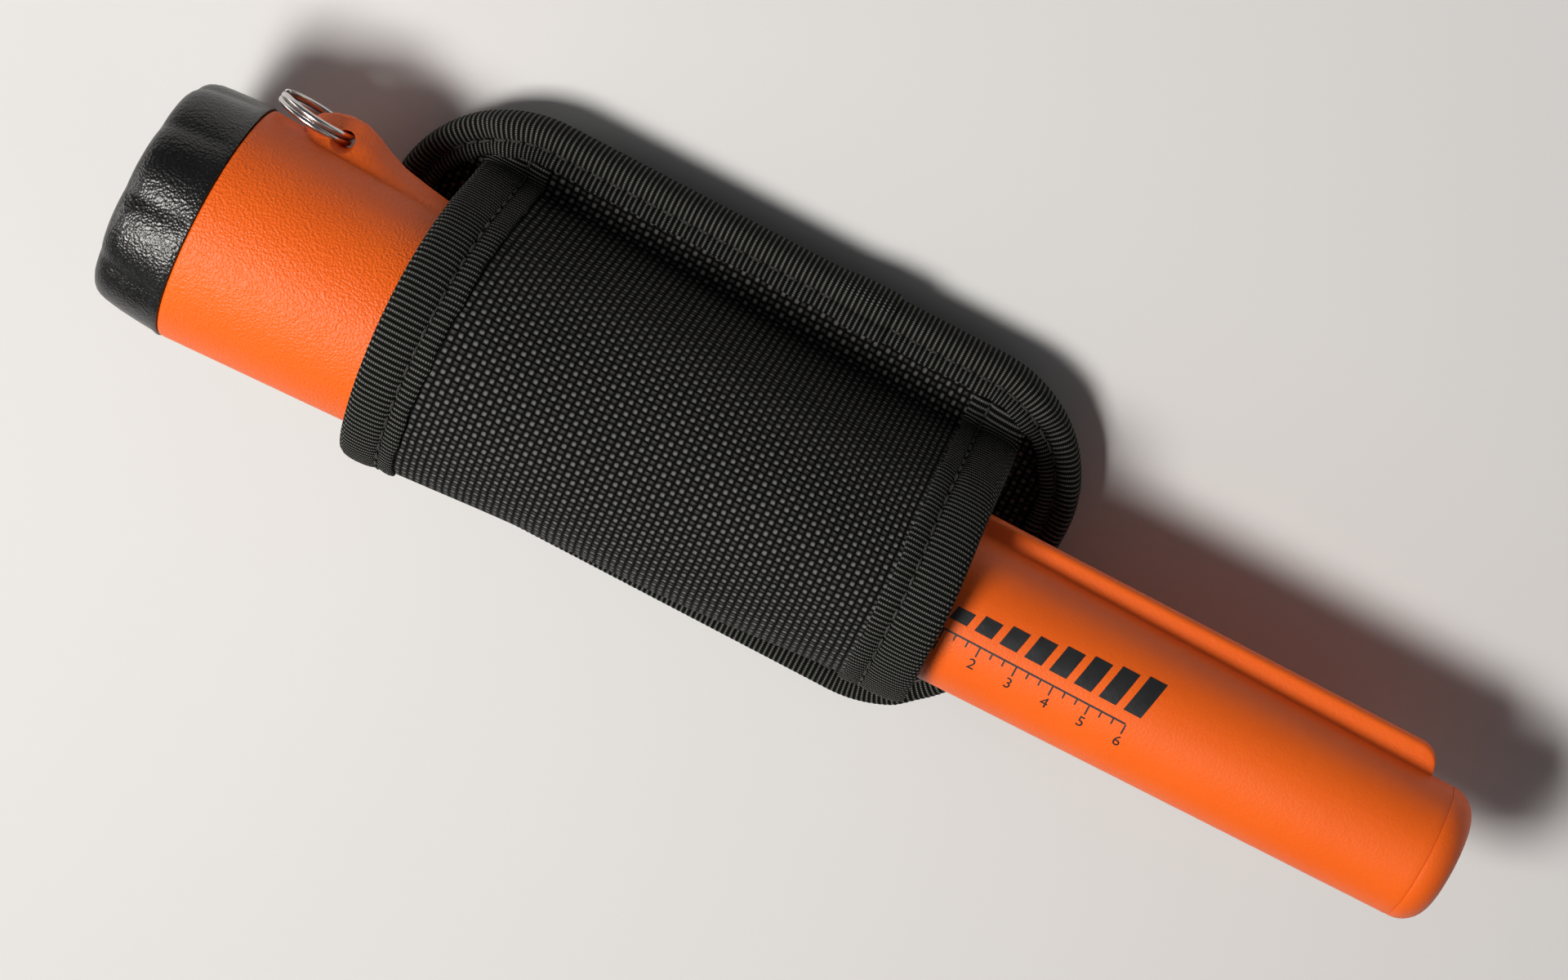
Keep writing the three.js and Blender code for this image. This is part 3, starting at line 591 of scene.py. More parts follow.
def eye_swelling(s, top):
    """Half outline of the lanyard eye: a rounded ridge whose flanks run straight out to a crisp foot."""
    radius, spread = skin_radius(s), max(0.02, eye_spread(s))
    ridge = min(1.9, 0.6 + max(0, top - radius) * 0.6)
    foot = Vector((radius * math.sin(spread), radius * math.cos(spread)))
    middle = Vector((0, top - ridge))
    reach = foot - middle
    if top < radius + 0.02 or reach.length < ridge * 1.01:
        return [(radius * math.sin(spread * k / 14), radius * math.cos(spread * k / 14)) for k in range(15)]
    turn = math.atan2(reach.x, reach.y) - math.acos(ridge / reach.length)
    points = [middle + ridge * Vector((math.sin(turn * k / 8), math.cos(turn * k / 8))) for k in range(9)]
    bulge = Vector((math.sin(turn), math.cos(turn))) * 0.6
    for share in (0.3, 0.6, 0.82, 0.94, 0.985, 1.0):
        points.append(points[8].lerp(foot, share) + bulge * 4 * share * (1 - share))
    skin = [math.sqrt(max(0, radius**2 - p.x**2)) for p in points]
    return [(p.x, max(p.y, low)) for p, low in zip(points, skin)]


def ring_at(s):
    """One ring of the housing's outside: (y, z) points, starting at the fin's middle."""
    radius = skin_radius(s)
    fin = eye_swelling(s, fin_top(s)) if s < 80 else swelling(s, fin_top(s), 1.95, 1.1, 0.55)
    barrel = swelling(s, barrel_top(s), 2.35, 2.3, 0.5)
    end_of_fin = math.atan2(fin[-1][0], fin[-1][1])
    end_of_barrel = math.atan2(barrel[-1][0], barrel[-1][1])

    def arc(a, b, steps):
        return [(radius * math.cos(a + (b - a) * k / steps), radius * math.sin(a + (b - a) * k / steps))
                for k in range(1, steps)]

    quarter = math.pi / 2
    ring = [(out, side) for side, out in fin]
    ring += arc(end_of_fin, quarter - end_of_barrel, 14)
    ring += [(side, out) for side, out in reversed(barrel)]
    ring += [(-side, out) for side, out in barrel[1:]]
    ring += arc(quarter + end_of_barrel, 2 * math.pi - end_of_fin, 56)
    ring += [(out, -side) for side, out in reversed(fin[1:])]
    return ring


def spaced(a, b, step):
    count = max(1, round((b - a) / step))
    return [a + (b - a) * k / count for k in range(count)]


STATIONS = [12.5, 12.56, 12.7, 12.95, 13.4, *spaced(14, 16.4, 0.8), *spaced(16.4, 19.6, 0.2),
            *spaced(19.6, 34, 0.45), *spaced(34, 62, 0.9), *spaced(62, 94.9, 2.0), 94.9, 95.0, 95.1,
            *spaced(95.6, 113.4, 0.7), 113.4, 113.49, 113.51, 113.6, *spaced(114.5, 216, 2.2),
            *spaced(216, 219.9, 0.2), 219.9, 219.97, 220.02, 220.3, 221, 222.5, 223.7, 223.9, 224.0]
BORE = [(224.0, 10.1), (223.8, 9.9), (119, 9.9), (112, 10.6), (99, 14.3), (68.3, 15), (68.2, 16.3),
        (22.4, 16.3), (22.3, 17.6), (13.3, 17.6), (12.5, 18.3)]
print(len(STATIONS), "stations along the housing")

# %% Wrap the housing
def edge_round(s):
    """How far the outline draws in at the moulding's two ends."""
    return 0.3 * (1 - min(1, (s - MOUTH) / 0.45)) ** 2 + 0.08 * max(0, (s - 223.7) / 0.3) ** 2


def housing_shell():
    rings = []
    for s in STATIONS:
        inset = edge_round(s)
        rings.append([Vector((s, y, z)) for y, z in ring_at(s)])
        if inset:
            for p in rings[-1]:
                r = math.hypot(p.y, p.z)
                p.y, p.z = p.y * (1 - inset / r), p.z * (1 - inset / r)
    count = len(rings[-1])
    angles = [math.atan2(p.z, p.y) for p in rings[0]]
    for s, r in BORE:
        rings.append([Vector((s, r * math.cos(a), r * math.sin(a))) for a in angles])
    return bent_sheet(count, len(rings), lambda i, j: rings[j % len(rings)][i % count])


housing = piece(housing_shell(), "housing_shell", PROBE_BOARD, "probe", ORANGE,
                ["housing"], merge=1e-4)

# %% [markdown]
# Holes are cut afterwards with one boolean: the eye's hole with a flared rim, the seat of the push
# button, the sounder's grille and the lamp's bore.

# %% Cut the housing's holes
EYE_AT, EYE_RADIUS = (25, 21.1), 1.34
BUTTON_AT, BEZEL_HALF = 82, (10.7, 6.2)
SPEAKER_AT = 97.2
LAMP_HEIGHT = 14.1


def upright(bm, x, y=0.0, z=0.0):
    """Stands a shape turned about x on end, so that its axis runs along z, and moves it."""
    bm.transform(Matrix.Translation((x, y, z)) @ Matrix.Rotation(math.radians(-90), 4, "Y"))
    return bm


def stadium(half_length, half_width, angle):
    """A point of an oval with straight sides."""
    straight = half_length - half_width
    x, y = math.cos(angle), math.sin(angle)
    return half_width * x + math.copysign(straight, x) * min(1, abs(x) * 3), half_width * y


def oval_block(x, half_length, half_width, z0, z1, steps=64):
    bm = bmesh.new()
    outline = [stadium(half_length, half_width, 2 * math.pi * k / steps) for k in range(steps)]
    face = bm.faces.new([bm.verts.new((x + a, b, z0)) for a, b in outline])
    top = bmesh.ops.extrude_face_region(bm, geom=[face])["geom"]
    for v in (g for g in top if isinstance(g, bmesh.types.BMVert)):
        v.co.z = z1
    return bm


def housing_holes():
    flare = [(1.9, EYE_RADIUS), (2.8, 1.4), (3.6, 1.54), (4.3, 1.78), (5.2, 2.15), (6.4, 2.6), (6.4, 0)]
    flare = [(-x, r) for x, r in reversed(flare)] + flare
    eye_hole = upright(turned(flare, 32), EYE_AT[0], EYE_AT[1])
    seat = oval_block(BUTTON_AT, BEZEL_HALF[0] + 0.15, BEZEL_HALF[1] + 0.15, 10, 20)
    barrel = turned([(102, 0), (102, 1.75), (112.9, 1.75), (113.8, 2.05), (114.5, 2.05), (114.5, 0)], 32)
    bmesh.ops.translate(barrel, verts=barrel.verts, vec=(0, 0, LAMP_HEIGHT))
    holes = []
    for k in range(7):  # six round one
        a, off = k * math.pi / 3, 2.6 if k else 0
        hole = turned([(11, 0), (11, 0.7), (16.1, 0.7), (16.6, 0.95), (19, 1.4), (19, 0)], 20)
        holes.append(upright(hole, SPEAKER_AT + off * math.cos(a), off * math.sin(a)))
    return joined(eye_hole, seat, barrel, *holes)


carve(housing, housing_holes(), PROBE_BOARD)

# %% [markdown]
# ## Tip
# The tube's end is a separate cap with a generous radius, pressed on so that a hair line shows.

# %% Tip cap
def rounded_end(x_end, radius, corner, steps=12):
    return [(x_end - corner + corner * math.sin(a), radius - corner + corner * math.cos(a))
            for a in (math.pi / 2 * k / steps for k in range(steps + 1))]


tip = turned([(217, 7.5), (217, 9.4), (217.3, 9.55), (224.03, 9.55), (224.03, 11.14), (224.08, 11.22),
              *rounded_end(LENGTH, 11.25, 4.6), (LENGTH, 0), (225.5, 0), (225.5, 7.5), (217, 7.5)], 96)
piece(tip, "tip_cap_shell", PROBE_BOARD, "probe", ORANGE, ["tip_cap"])

# %% [markdown]
# ## Battery cap
# The cap is gripped by shallow scallops that deepen towards its outer end and fade out at the joint.
# A grid wrapped into a cup gives them as true shape: the radius at each corner is the cap's own
# taper less the scallop there. The spigot behind it carries one turn of coarse screw thread.

# %% Cap with scallops
FLUTES, FLUTE_PHASE = 9, math.radians(10.8)
CAP_SIDE = [(0.0, 15.6), (0.1, 16.5), (0.35, 17.4), (0.8, 18.15), (1.4, 18.7), (2.2, 19.1), (3.2, 19.38),
            (5.0, 19.6), (7.0, 19.76), (9.0, 19.88), (11.0, 19.97), (12.1, 20.0), (12.38, 19.9),
            (12.42, 19.6)]


def cap_grip():
    steps = 216
    rings = [(0.0, r) for r in (0.001, 5, 9, 12)] + CAP_SIDE
    rings += [(12.42, 17.2), (10.2, 15.4), (10.0, 8.0), (10.0, 0.001)]

    def place(i, j):
        x, r = rings[j]
        a = 2 * math.pi * (i % steps) / steps
        if r > 13 and x < 12.4:
            turn = ((a - FLUTE_PHASE) * FLUTES / (2 * math.pi) + 0.5) % 1 - 0.5
            hollow = (0.5 - math.hypot(turn, 0.035)) / 0.5  # 1 in the middle of a scallop
            deep = (1.05 - 0.55 * smooth(0, 12, x)) * smooth(13, 16, r) * (1 - smooth(11.2, 12.35, x))
            r -= deep * max(0, hollow) ** 2.4
        return Vector((x, r * math.cos(a), r * math.sin(a)))

    return bent_sheet(steps, len(rings) - 1, place)


def thread_ridge():
    """One turn of right-hand thread: a section swept along a screw line by spin's own rise."""
    lead, turns, start = 4.0, 0.9, 17.0
    bm = bmesh.new()
    section = [(start + dx, r) for dx, r in ((-1, 16.9), (-0.45, 17.95), (0.45, 17.95), (1, 16.9))]
    verts = [bm.verts.new((x, r, 0)) for x, r in section]
    face = bm.faces.new(verts)
    steps = 64
    bmesh.ops.spin(bm, geom=[face], cent=(0, 0, 0), axis=(1, 0, 0), angle=2 * math.pi * turns,
                   steps=steps, dvec=(lead * turns / steps, 0, 0))
    return bm


spigot = turned([(12.0, 15.5), (12.0, 17.25), (13.0, 17.25), (13.0, 15.95), (15.4, 15.95), (15.4, 17.25),
                 (21.4, 17.25), (21.8, 16.9), (21.8, 15.6), (12.0, 15.5)], 96)
piece(cap_grip(), "cap_grip", PROBE_BOARD, "cap", CAP_BLACK, ["battery_cap"])
piece(joined(spigot, thread_ridge()), "cap_spigot", PROBE_BOARD, "cap", PLAIN_BLACK)
seal = turned([(14.2 + 0.5 * math.cos(a), 16.8 + 0.5 * math.sin(a))
               for a in (2 * math.pi * k / 16 for k in range(17))], 96)
piece(seal, "cap_seal_ring", PROBE_BOARD, "cap", RUBBER, ["cap_seal"])

# %% [markdown]
# ## Split ring
# A key ring is a flattened wire coiled twice round, with a step where it passes from one coil to
# the other. A tube swept along that double turn shows the seam between the coils and both cut ends.

# %% Split ring
def key_ring():
    """Two turns of wire, one coil's pitch apart, hung in the eye."""
    mean, wire, pitch = 6.1, (0.58, 0.55), 1.12
    steps, sides = 200, 14

    def place(i, j):
        t = j / steps
        a, b = 4 * math.pi * t, 2 * math.pi * (i % sides) / sides
        rise = pitch * (smooth(0.44, 0.56, t) - 0.5)
        pinch = 0.72 if j in (0, steps) else 1
        r = mean + wire[0] * pinch * math.cos(b)
        return Vector((-r * math.cos(a), rise + wire[1] * pinch * math.sin(b), r * math.sin(a)))

    bm = closed(bent_sheet(sides, steps, place))
    lift, tilt = math.radians(-7), math.radians(4.5)
    bm.transform(Matrix.Translation((EYE_AT[0], EYE_AT[1], 0)) @ Matrix.Rotation(lift, 4, "Z")
                 @ Matrix.Rotation(tilt, 4, "X") @ Matrix.Translation((-mean, 0, 0)))
    return bm


piece(key_ring(), "key_ring", PROBE_BOARD, "ring", RING_STEEL, ["split_ring"], merge=1e-4)

# %% [markdown]
# ## Push button, lamp and sounder
# The button is an oval of rubber that follows the handle's curve and stands a little proud of a
# plain rim. It is a disc of rings that is bent over the handle, with its edge rounded.

# %% Push button and its rim
def oval_dome(x, half_length, half_width, top, depth, corner=0.9, steps=72):
    """An oval button: rings from its middle to its edge, then down its side. top(y) is its height."""
    shares = [0.001, 0.3, 0.55, 0.75, 0.88]
    turns = [math.pi / 2 * k / 5 for k in range(6)]
    rings = [(half_length - corner, half_width - corner, share, 0.0) for share in shares]
    rings += [(half_length - corner + corner * math.sin(a), half_width - corner + corner * math.sin(a), 1.0,
               corner * (1 - math.cos(a))) for a in turns]
    rings.append((half_length, half_width, 1.0, depth))
    rings.append((half_length, half_width, 0.001, depth))

    def place(i, j):
        long_half, short_half, share, drop = rings[j]
        a, b = stadium(long_half, short_half, 2 * math.pi * (i % steps) / steps)
        if j >= len(rings) - 2:
            return Vector((x + a * share, b * share, top(0) - depth))
        return Vector((x + a * share, b * share, top(b * share) - drop))

    return bent_sheet(steps, len(rings) - 1, place)


button_top = skin_radius(BUTTON_AT) + 0.5
button_bm = oval_dome(BUTTON_AT, 8.6, 4.1, lambda y: math.sqrt(button_top**2 - y * y), 3.6)
stem = upright(turned([(6.9, 0), (6.9, 1.3), (7.0, 1.4), (14.4, 1.4), (14.4, 0)], 32), BUTTON_AT)
ribs = []
for k in range(5):
    rib = bmesh.new()
    bmesh.ops.create_uvsphere(rib, u_segments=16, v_segments=10, radius=1)
    rib.transform(Matrix.Translation((BUTTON_AT + 2.2 * (k - 2), 0, button_top - 0.12))
                  @ Matrix.Diagonal((0.42, 2.5 - 0.28 * abs(k - 2), 0.42, 1)))
    for v in rib.verts:
        v.co.z -= button_top - math.sqrt(button_top**2 - v.co.y**2)
    ribs.append(rib)
piece(joined(button_bm, stem, *ribs), "button_dome", PROBE_BOARD, "button", RUBBER,
      ["power_button"], merge=1e-4)


def rim():
    steps, crown = 96, 3.05
    section = [(0, 0), (0, 2.6), (0.25, 2.95), (0.6, crown), (1.2, crown), (1.55, 2.95), (1.75, 2.7),
               (1.8, 0), (0, 0)]

    def place(i, j):
        out, up_by = section[j]
        a, b = stadium(8.9 + out, 4.4 + out, 2 * math.pi * (i % steps) / steps)
        top = skin_radius(BUTTON_AT + a) + 0.3
        return Vector((BUTTON_AT + a, b, math.sqrt(top**2 - b * b) + up_by - crown if up_by > 1 else 13.4))

    return bent_sheet(steps, len(section) - 1, place)


piece(rim(), "button_rim", PROBE_BOARD, "probe", PLAIN_BLACK, ["button_bezel"], merge=1e-4)

# %% Lamp and its lens
lens = turned([(111.7, 0), (111.7, 1.4), (113.0, 1.42), (113.25, 1.25), (113.45, 0.8), (113.55, 0)], 40)
led = turned([(106, 0), (106, 1.55), (106.6, 1.55), (106.6, 1.35), (109.8, 1.35), (110.6, 1.15),
              (111.1, 0.7), (111.25, 0)], 40)
for bm in (lens, led):
    bmesh.ops.translate(bm, verts=bm.verts, vec=(0, 0, LAMP_HEIGHT))
piece(lens, "lamp_dome", PROBE_BOARD, "probe", LENS_CLEAR, ["lamp_lens"])
piece(led, "lamp_led", PROBE_BOARD, "probe", WHITE, ["lamp_bulb"])

# %% [markdown]
# ## Printed depth scale
# The tube carries black printing. Here it is a plain scale: slanted bars that grow with signal
# strength over a ruler with numbers. Ink has no thickness worth the name, so each mark is a sliver
# of mesh bent round the tube, just proud of the skin.

# %% Depth scale
PRINT_TOP = math.radians(62)  # polar angle of the print's upper edge, from the fin


def wrapped(bm, thickness=0.035, sunk=0.05):
    """Bends flat marks round the tube: x stays, and y runs round it, downwards from the upper edge."""
    for axis, step in (((1, 0, 0), 6.0), ((0, 1, 0), 1.0)):
        along = [v.co.dot(Vector(axis)) for v in bm.verts]
        for at in spaced(min(along), max(along), step)[1:]:
            geom = bm.verts[:] + bm.edges[:] + bm.faces[:]
            bmesh.ops.bisect_plane(bm, geom=geom, plane_co=Vector(axis) * at, plane_no=axis, dist=1e-5)
    lid = bmesh.ops.extrude_face_region(bm, geom=bm.faces[:])["geom"]
    raised = {g for g in lid if isinstance(g, bmesh.types.BMVert)}
    for v in bm.verts:
        r = skin_radius(v.co.x) + (thickness if v in raised else -sunk)
        a = PRINT_TOP + v.co.y / skin_radius(v.co.x)
        v.co = Vector((v.co.x, r * math.cos(a), r * math.sin(a)))
    return bm


def mark(corners):
    bm = bmesh.new()
    bm.faces.new([bm.verts.new((x, y, 0)) for x, y in corners])
    return wrapped(bm)


def bar(x, foot, top, width, slant=0.22):
    return mark([(x - slant * foot, foot), (x + width - slant * foot, foot),
                 (x + width - slant * top, top), (x - slant * top, top)])


def number(text, x, y, size):
    curve = bpy.data.curves.new("number", "FONT")
    curve.body, curve.size, curve.align_x, curve.resolution_u = text, size, "CENTER", 3
    holder = bpy.data.objects.new("number", curve)
    bpy.context.scene.collection.objects.link(holder)
    bpy.context.view_layer.update()
    mesh = bpy.data.meshes.new_from_object(holder.evaluated_get(bpy.context.evaluated_depsgraph_get()))
    bm = bmesh.new()
    bm.from_mesh(mesh)
    bpy.data.objects.remove(holder)
    bmesh.ops.remove_doubles(bm, verts=bm.verts, dist=1e-4)
    bm.transform(Matrix.Translation((x, y, 0)) @ Matrix.Diagonal((1, -1, 1, 1)))
    return wrapped(bm)


marks = [bar(143.5 + 4.3 * k, 6.6, 4.4 - 0.62 * k, 3.0) for k in range(8)]
marks.append(mark([(141, 8.35), (173.5, 8.35), (173.5, 8.65), (141, 8.65)]))
marks += [bar(142 + 2.1 * k, 9.6 if k % 3 else 10.3, 8.6, 0.26, 0.0) for k in range(16)]
marks += [number(str(k + 1), 142.13 + 6.3 * k, 12.6, 2.7) for k in range(6)]
piece(joined(*marks), "depth_scale_print", PROBE_BOARD, "probe", INK, merge=1e-5, sharp=60)

# %% [markdown]
# ## Holster cloth
# The front of the holster is a piece of padded cloth laid over the probe like a saddle: an arch with
# straight legs that turn outwards into two sewn flanges. Its outline is measured along the cloth, so
# the weave keeps its size. The arch narrows towards the tip, a little less on the blade's side.

# %% Outline of the sleeve
SLEEVE = (44.5, 141.0)
CLOTH = (46.9, 140.4)  # the cloth stops inside the folds of its two tapes
ARCH, FOOT, FLOOR, FLANGE = 22.0, 22.4, -20.2, 1.2
PANEL_START, PANEL_END, PANEL_HALF, PANEL_CORNER = 31.4, 153.4, 33.0, 22.3
FLANGE_TOP = FLOOR + FLANGE


def hat_points(offset, half_width):
    """The sleeve's outline in its widest section, one offset out from its skin: (y, z) points."""
    foot, arch, top = FOOT + offset, ARCH + offset, FLANGE_TOP + offset
    half = [(half_width - (half_width - foot - 2.4) * k / 24, top) for k in range(25)]
    bend = [(foot + 2.4 * (1 - math.sin(a)), top + 2.4 * (1 - math.cos(a)))
            for a in (math.pi / 2 * k / 10 for k in range(1, 11))]
    bend_top = top + 2.4
    leg = [(foot + (arch - foot) * k / 30, bend_top * (1 - k / 30)) for k in range(1, 31)]
    turn = [(arch * math.cos(a), arch * math.sin(a)) for a in (math.pi / 2 * k / 60 for k in range(1, 61))]
    right_half = half + bend + leg + turn
    return right_half + [(-y, z) for y, z in reversed(right_half[:-1])]


def narrowed(s, y, z):
    """The same point where the sleeve has narrowed at station s."""
    t = min(1, max(0, (s - SLEEVE[0]) / (SLEEVE[1] - SLEEVE[0]))) ** 1.2
    squeeze = 1 - t * (0.225 if y < 0 else 0.115)
    reach = abs(y)
    if reach > FOOT:
        spread = (PANEL_HALF - FOOT * squeeze) / (PANEL_HALF - FOOT)
        reach = FOOT * squeeze + (reach - FOOT) * spread
    else:
        reach *= squeeze
    rise = z - FLOOR
    lower = 1 - 4.9 * t / (ARCH - FLOOR)
    return math.copysign(reach, y), FLOOR + (rise * lower if rise > 0 else rise)


def panel_reach(s, inset):
    """Half width of the back panel's outline at station s, drawn in by inset."""
    corner = PANEL_CORNER - inset
    into = max(PANEL_START + PANEL_CORNER - s, s - (PANEL_END - PANEL_CORNER), 0)
    return PANEL_HALF - PANEL_CORNER + math.sqrt(max(0.0, corner**2 - into**2)) if corner > into else 0


def lengths(points):
    total = [0.0]
    for a, b in zip(points, points[1:]):
        total.append(total[-1] + math.dist(a, b))
    return total


# %% Sleeve
def cloth_sag(s, y, z):
    """Padded cloth is never quite even: soft swells between the seams, in millimetres."""
    end = smooth(0, 12, s - SLEEVE[0]) * smooth(0, 12, SLEEVE[1] - s)
    wave = 0.35 * math.sin(0.11 * s + 0.21 * y) + 0.25 * math.sin(0.07 * s - 0.16 * z + 1.3)
    return end * (0.25 + wave * 0.6)


def leaned(place):
    """The sleeve's ends are not sewn quite square: their far sides are drawn towards the cap."""
    s, y, z = place
    foot = smooth(110, 141, s) * (0.4 * smooth(-22, 4, y) + 1.6 * smooth(4, 24, y))
    mouth = (1 - smooth(46, 60, s)) * (1.6 * smooth(-22, 18, y) - 0.5 + 1.2 * smooth(21.5, 25.5, abs(y)))
    return Vector((s - foot - mouth, y, z))


def sleeve_cloth():
    thick = 2.0
    outer = hat_points(0, PANEL_HALF - 1)
    run = lengths(outer)
    middle = run[-1] / 2
    lining = []
    for y, z in outer:
        if z >= 0:
            r = (ARCH - thick) / ARCH
            lining.append((y * r, z * r))
        elif abs(y) <= FOOT + 0.001:
            lining.append((math.copysign(ARCH - thick + 0.4 * min(1, -z / 16.6), y), z))
        else:
            lining.append((y, FLOOR))
    columns, rows = len(outer) - 1, 112
    count = 2 * (columns + 1)

    def place(i, j):
        s = CLOTH[0] + (CLOTH[1] - CLOTH[0]) * j / rows
        k = i % count
        out = k <= columns
        y, z = narrowed(s, *(outer[k] if out else lining[count - 1 - k]))
        limit = panel_reach(leaned((s, y, z)).x, 1.0)
        y = max(-limit, min(limit, y))
        if out:
            lift = cloth_sag(s, y, z) * smooth(FLANGE_TOP + 1, FLANGE_TOP + 9, z)
            reach = math.hypot(y, max(z, 0)) or 1
            y += lift * y / reach
            z += lift * max(z, 0) / reach
        return leaned((s, y, z))

    def flat(i, j):
        k = i % count
        here = run[k] if k <= columns else run[count - 1 - k]
        return here - middle, (SLEEVE[1] - SLEEVE[0]) * j / rows

    return closed(bent_sheet(count, rows, place, flat), 2e-3)


sleeve = piece(sleeve_cloth(), "sleeve_cloth", HOLSTER_BOARD, "holster", WEAVE,
               ["front_sleeve"])

# %% [markdown]
# ## Back panel
# The back is a stiff board covered in the same cloth. Its outline is a rounded rectangle, inset a
# little at its rim so that the binding has an edge to hold.

# %% Back panel
def outline_point(t, inset=0.0):
    """Point and outward direction at t millimetres round the back panel, from the blade side's middle."""
    length, half, r = PANEL_END - PANEL_START, PANEL_HALF, PANEL_CORNER
    side, end, arc = length - 2 * r, 2 * (half - r), math.pi * r / 2
    x0, x1 = PANEL_START + r, PANEL_END - r
    # Each leg: its length, its start or its corner's middle, its way or first angle, and its outside.
    legs = [(side, (x0, half), (1, 0), (0, 1)), (arc, (x1, half - r), 90, None),
            (end, (PANEL_END, half - r), (0, -1), (1, 0)), (arc, (x1, r - half), 0, None),
            (side, (x1, -half), (-1, 0), (0, -1)), (arc, (x0, r - half), -90, None),
            (end, (PANEL_START, r - half), (0, 1), (-1, 0)), (arc, (x0, half - r), -180, None)]
    t %= 2 * side + 2 * end + 4 * arc
    for size, start, way, out in legs:
        if t <= size:
            break
        t -= size
    if out is None:
        a = math.radians(way) - t / r
        out = (math.cos(a), math.sin(a))
        return (start[0] + (r - inset) * out[0], start[1] + (r - inset) * out[1]), out
    return (start[0] + way[0] * t - inset * out[0], start[1] + way[1] * t - inset * out[1]), out


PERIMETER = (2 * (PANEL_END - PANEL_START - 2 * PANEL_CORNER) + 4 * (PANEL_HALF - PANEL_CORNER)
             + 2 * math.pi * PANEL_CORNER)
PANEL_TOP, PANEL_LOW = -20.5, -22.7
DRAWN_IN = 1.0  # the cloth is drawn this far in from the panel's widest outline


def back_board():
    steps = 240
    rings = [(0.001, PANEL_TOP), (0.5, PANEL_TOP), (1.0, PANEL_TOP), (1.0, PANEL_LOW), (0.5, PANEL_LOW),
             (0.001, PANEL_LOW)]
    middle = Vector(((PANEL_START + PANEL_END) / 2, 0, 0))

    def place(i, j):
        share, z = rings[j]
        (x, y), _ = outline_point(PERIMETER * (i % steps) / steps, DRAWN_IN)
        return Vector((middle.x + (x - middle.x) * share, y * share, z))

    bm = bent_sheet(steps, len(rings) - 1, place)
    uv = bm.loops.layers.uv["fabric"]
    for face in bm.faces:
        for corner in face.loops:
            corner[uv].uv = (corner.vert.co.y, corner.vert.co.x)
    return bm


board = piece(back_board(), "back_board", HOLSTER_BOARD, "holster", PANEL_WEAVE,
              ["back_panel"], merge=0.01)

# %% [markdown]
# ## Ribbed binding
# Tape is folded over every raw edge and sewn through. Its ribs run across it, and they are real
# shape here, because they notch its outline. A section of the folded tape is swept along the edge,
# four steps to a rib, and each step is pushed out by the rib's height. The sewing line pulls the
# tape in, so it has a valley with a dimple at each stitch.

# %% Helpers for tape and stitches
RIB_HEIGHT, STITCH_PITCH = 0.13, 3.1


def rib_lift(t):
    return RIB_HEIGHT * (abs(math.sin(math.pi * t / RIB)) ** 0.8 - 0.5)


def stitches(places, length=2.1, width=0.5):
    """Small stitches: each place is its middle, its direction and the direction out of the cloth."""
    made = []
    for middle, way, out in places:
        bm = bmesh.new()
        bmesh.ops.create_uvsphere(bm, u_segments=6, v_segments=6, radius=1)
        way = Vector(way).normalized()
        out = (Vector(out) - way * Vector(out).dot(way)).normalized()
        side = out.cross(way)
        turn = Matrix((side * width / 2, out * width / 2.4, way * length / 2)).transposed().to_4x4()
        bm.transform(Matrix.Translation(middle) @ turn)
        made.append(bm)
    return joined(*made)


# %% Binding round the panel
SEAM_AT = 112.8 - (PANEL_START + PANEL_CORNER)  # where the tape's two ends lap, on the blade's side
COVER_TOP = FLANGE_TOP + 1.0  # top of the tape over the sleeve's flanges
EDGE_TOP = PANEL_TOP + 1.0  # top of the tape over the bare panel
TAPE_STITCH = -3.0  # the sewing line, inwards of the panel's edge


def tape_height(x):
    over = smooth(SLEEVE[0] - 5, SLEEVE[0] - 1, x) * (1 - smooth(SLEEVE[1] + 1, SLEEVE[1] + 5, x))
    return EDGE_TOP + (COVER_TOP - EDGE_TOP) * over


def edge_section(top, t, lap):
    """The folded tape's section: (outwards, up, ribbed share) points, closed."""
    pull = 0.5 + 0.5 * math.cos(2 * math.pi * t / STITCH_PITCH)
    valley = -0.62 - 0.2 * pull
    low = PANEL_LOW - 1.0
    span, swell = top - low, lap * 0.7
    wave = 0.16 * math.sin(0.55 * t) + 0.1 * math.sin(1.37 * t + 0.6)
    face = [(-5.6 + wave, 0.0, 0.2), (-5.45 + wave, 0.22, 1), (-4.8, 0.36, 1), (-4.1, 0.28, 1),
            (-3.45, 0.0, 0.9), (TAPE_STITCH, valley, 0.5), (-2.55, 0.02, 0.9), (-1.7, 0.36, 1),
            (-0.9, 0.5, 1), (-0.1, 0.36, 1)]
    points = [(n, top + h + lap, share) for n, h, share in face]
    roll = [(0.45 + lap * 0.5, top - 0.1 + lap, 1), (0.78 + swell, top - 0.22 * span, 1),
            (0.9 + swell, top - 0.5 * span, 1), (0.78 + swell, low + 0.2 * span, 1), (0.35, low - 0.02, 1)]
    under = [(-0.6, low - 0.1, 1), (-1.7, low - 0.05, 1), (TAPE_STITCH, low + 0.12, 0.5),
             (-3.8, low - 0.05, 1), (-5.0, low - 0.02, 1), (-5.6, low + 0.1, 0.2)]
    inside = [(-5.5, PANEL_LOW - 0.32, 0), (-2.5, PANEL_LOW - 0.32, 0), (0.15, PANEL_LOW - 0.3, 0),
              (0.2, PANEL_TOP + 0.2, 0), (0.15, top - 0.68, 0), (-2.5, top - 0.7, 0),
              (-5.55 + wave, top - 0.62, 0)]
    return points + roll + under + inside


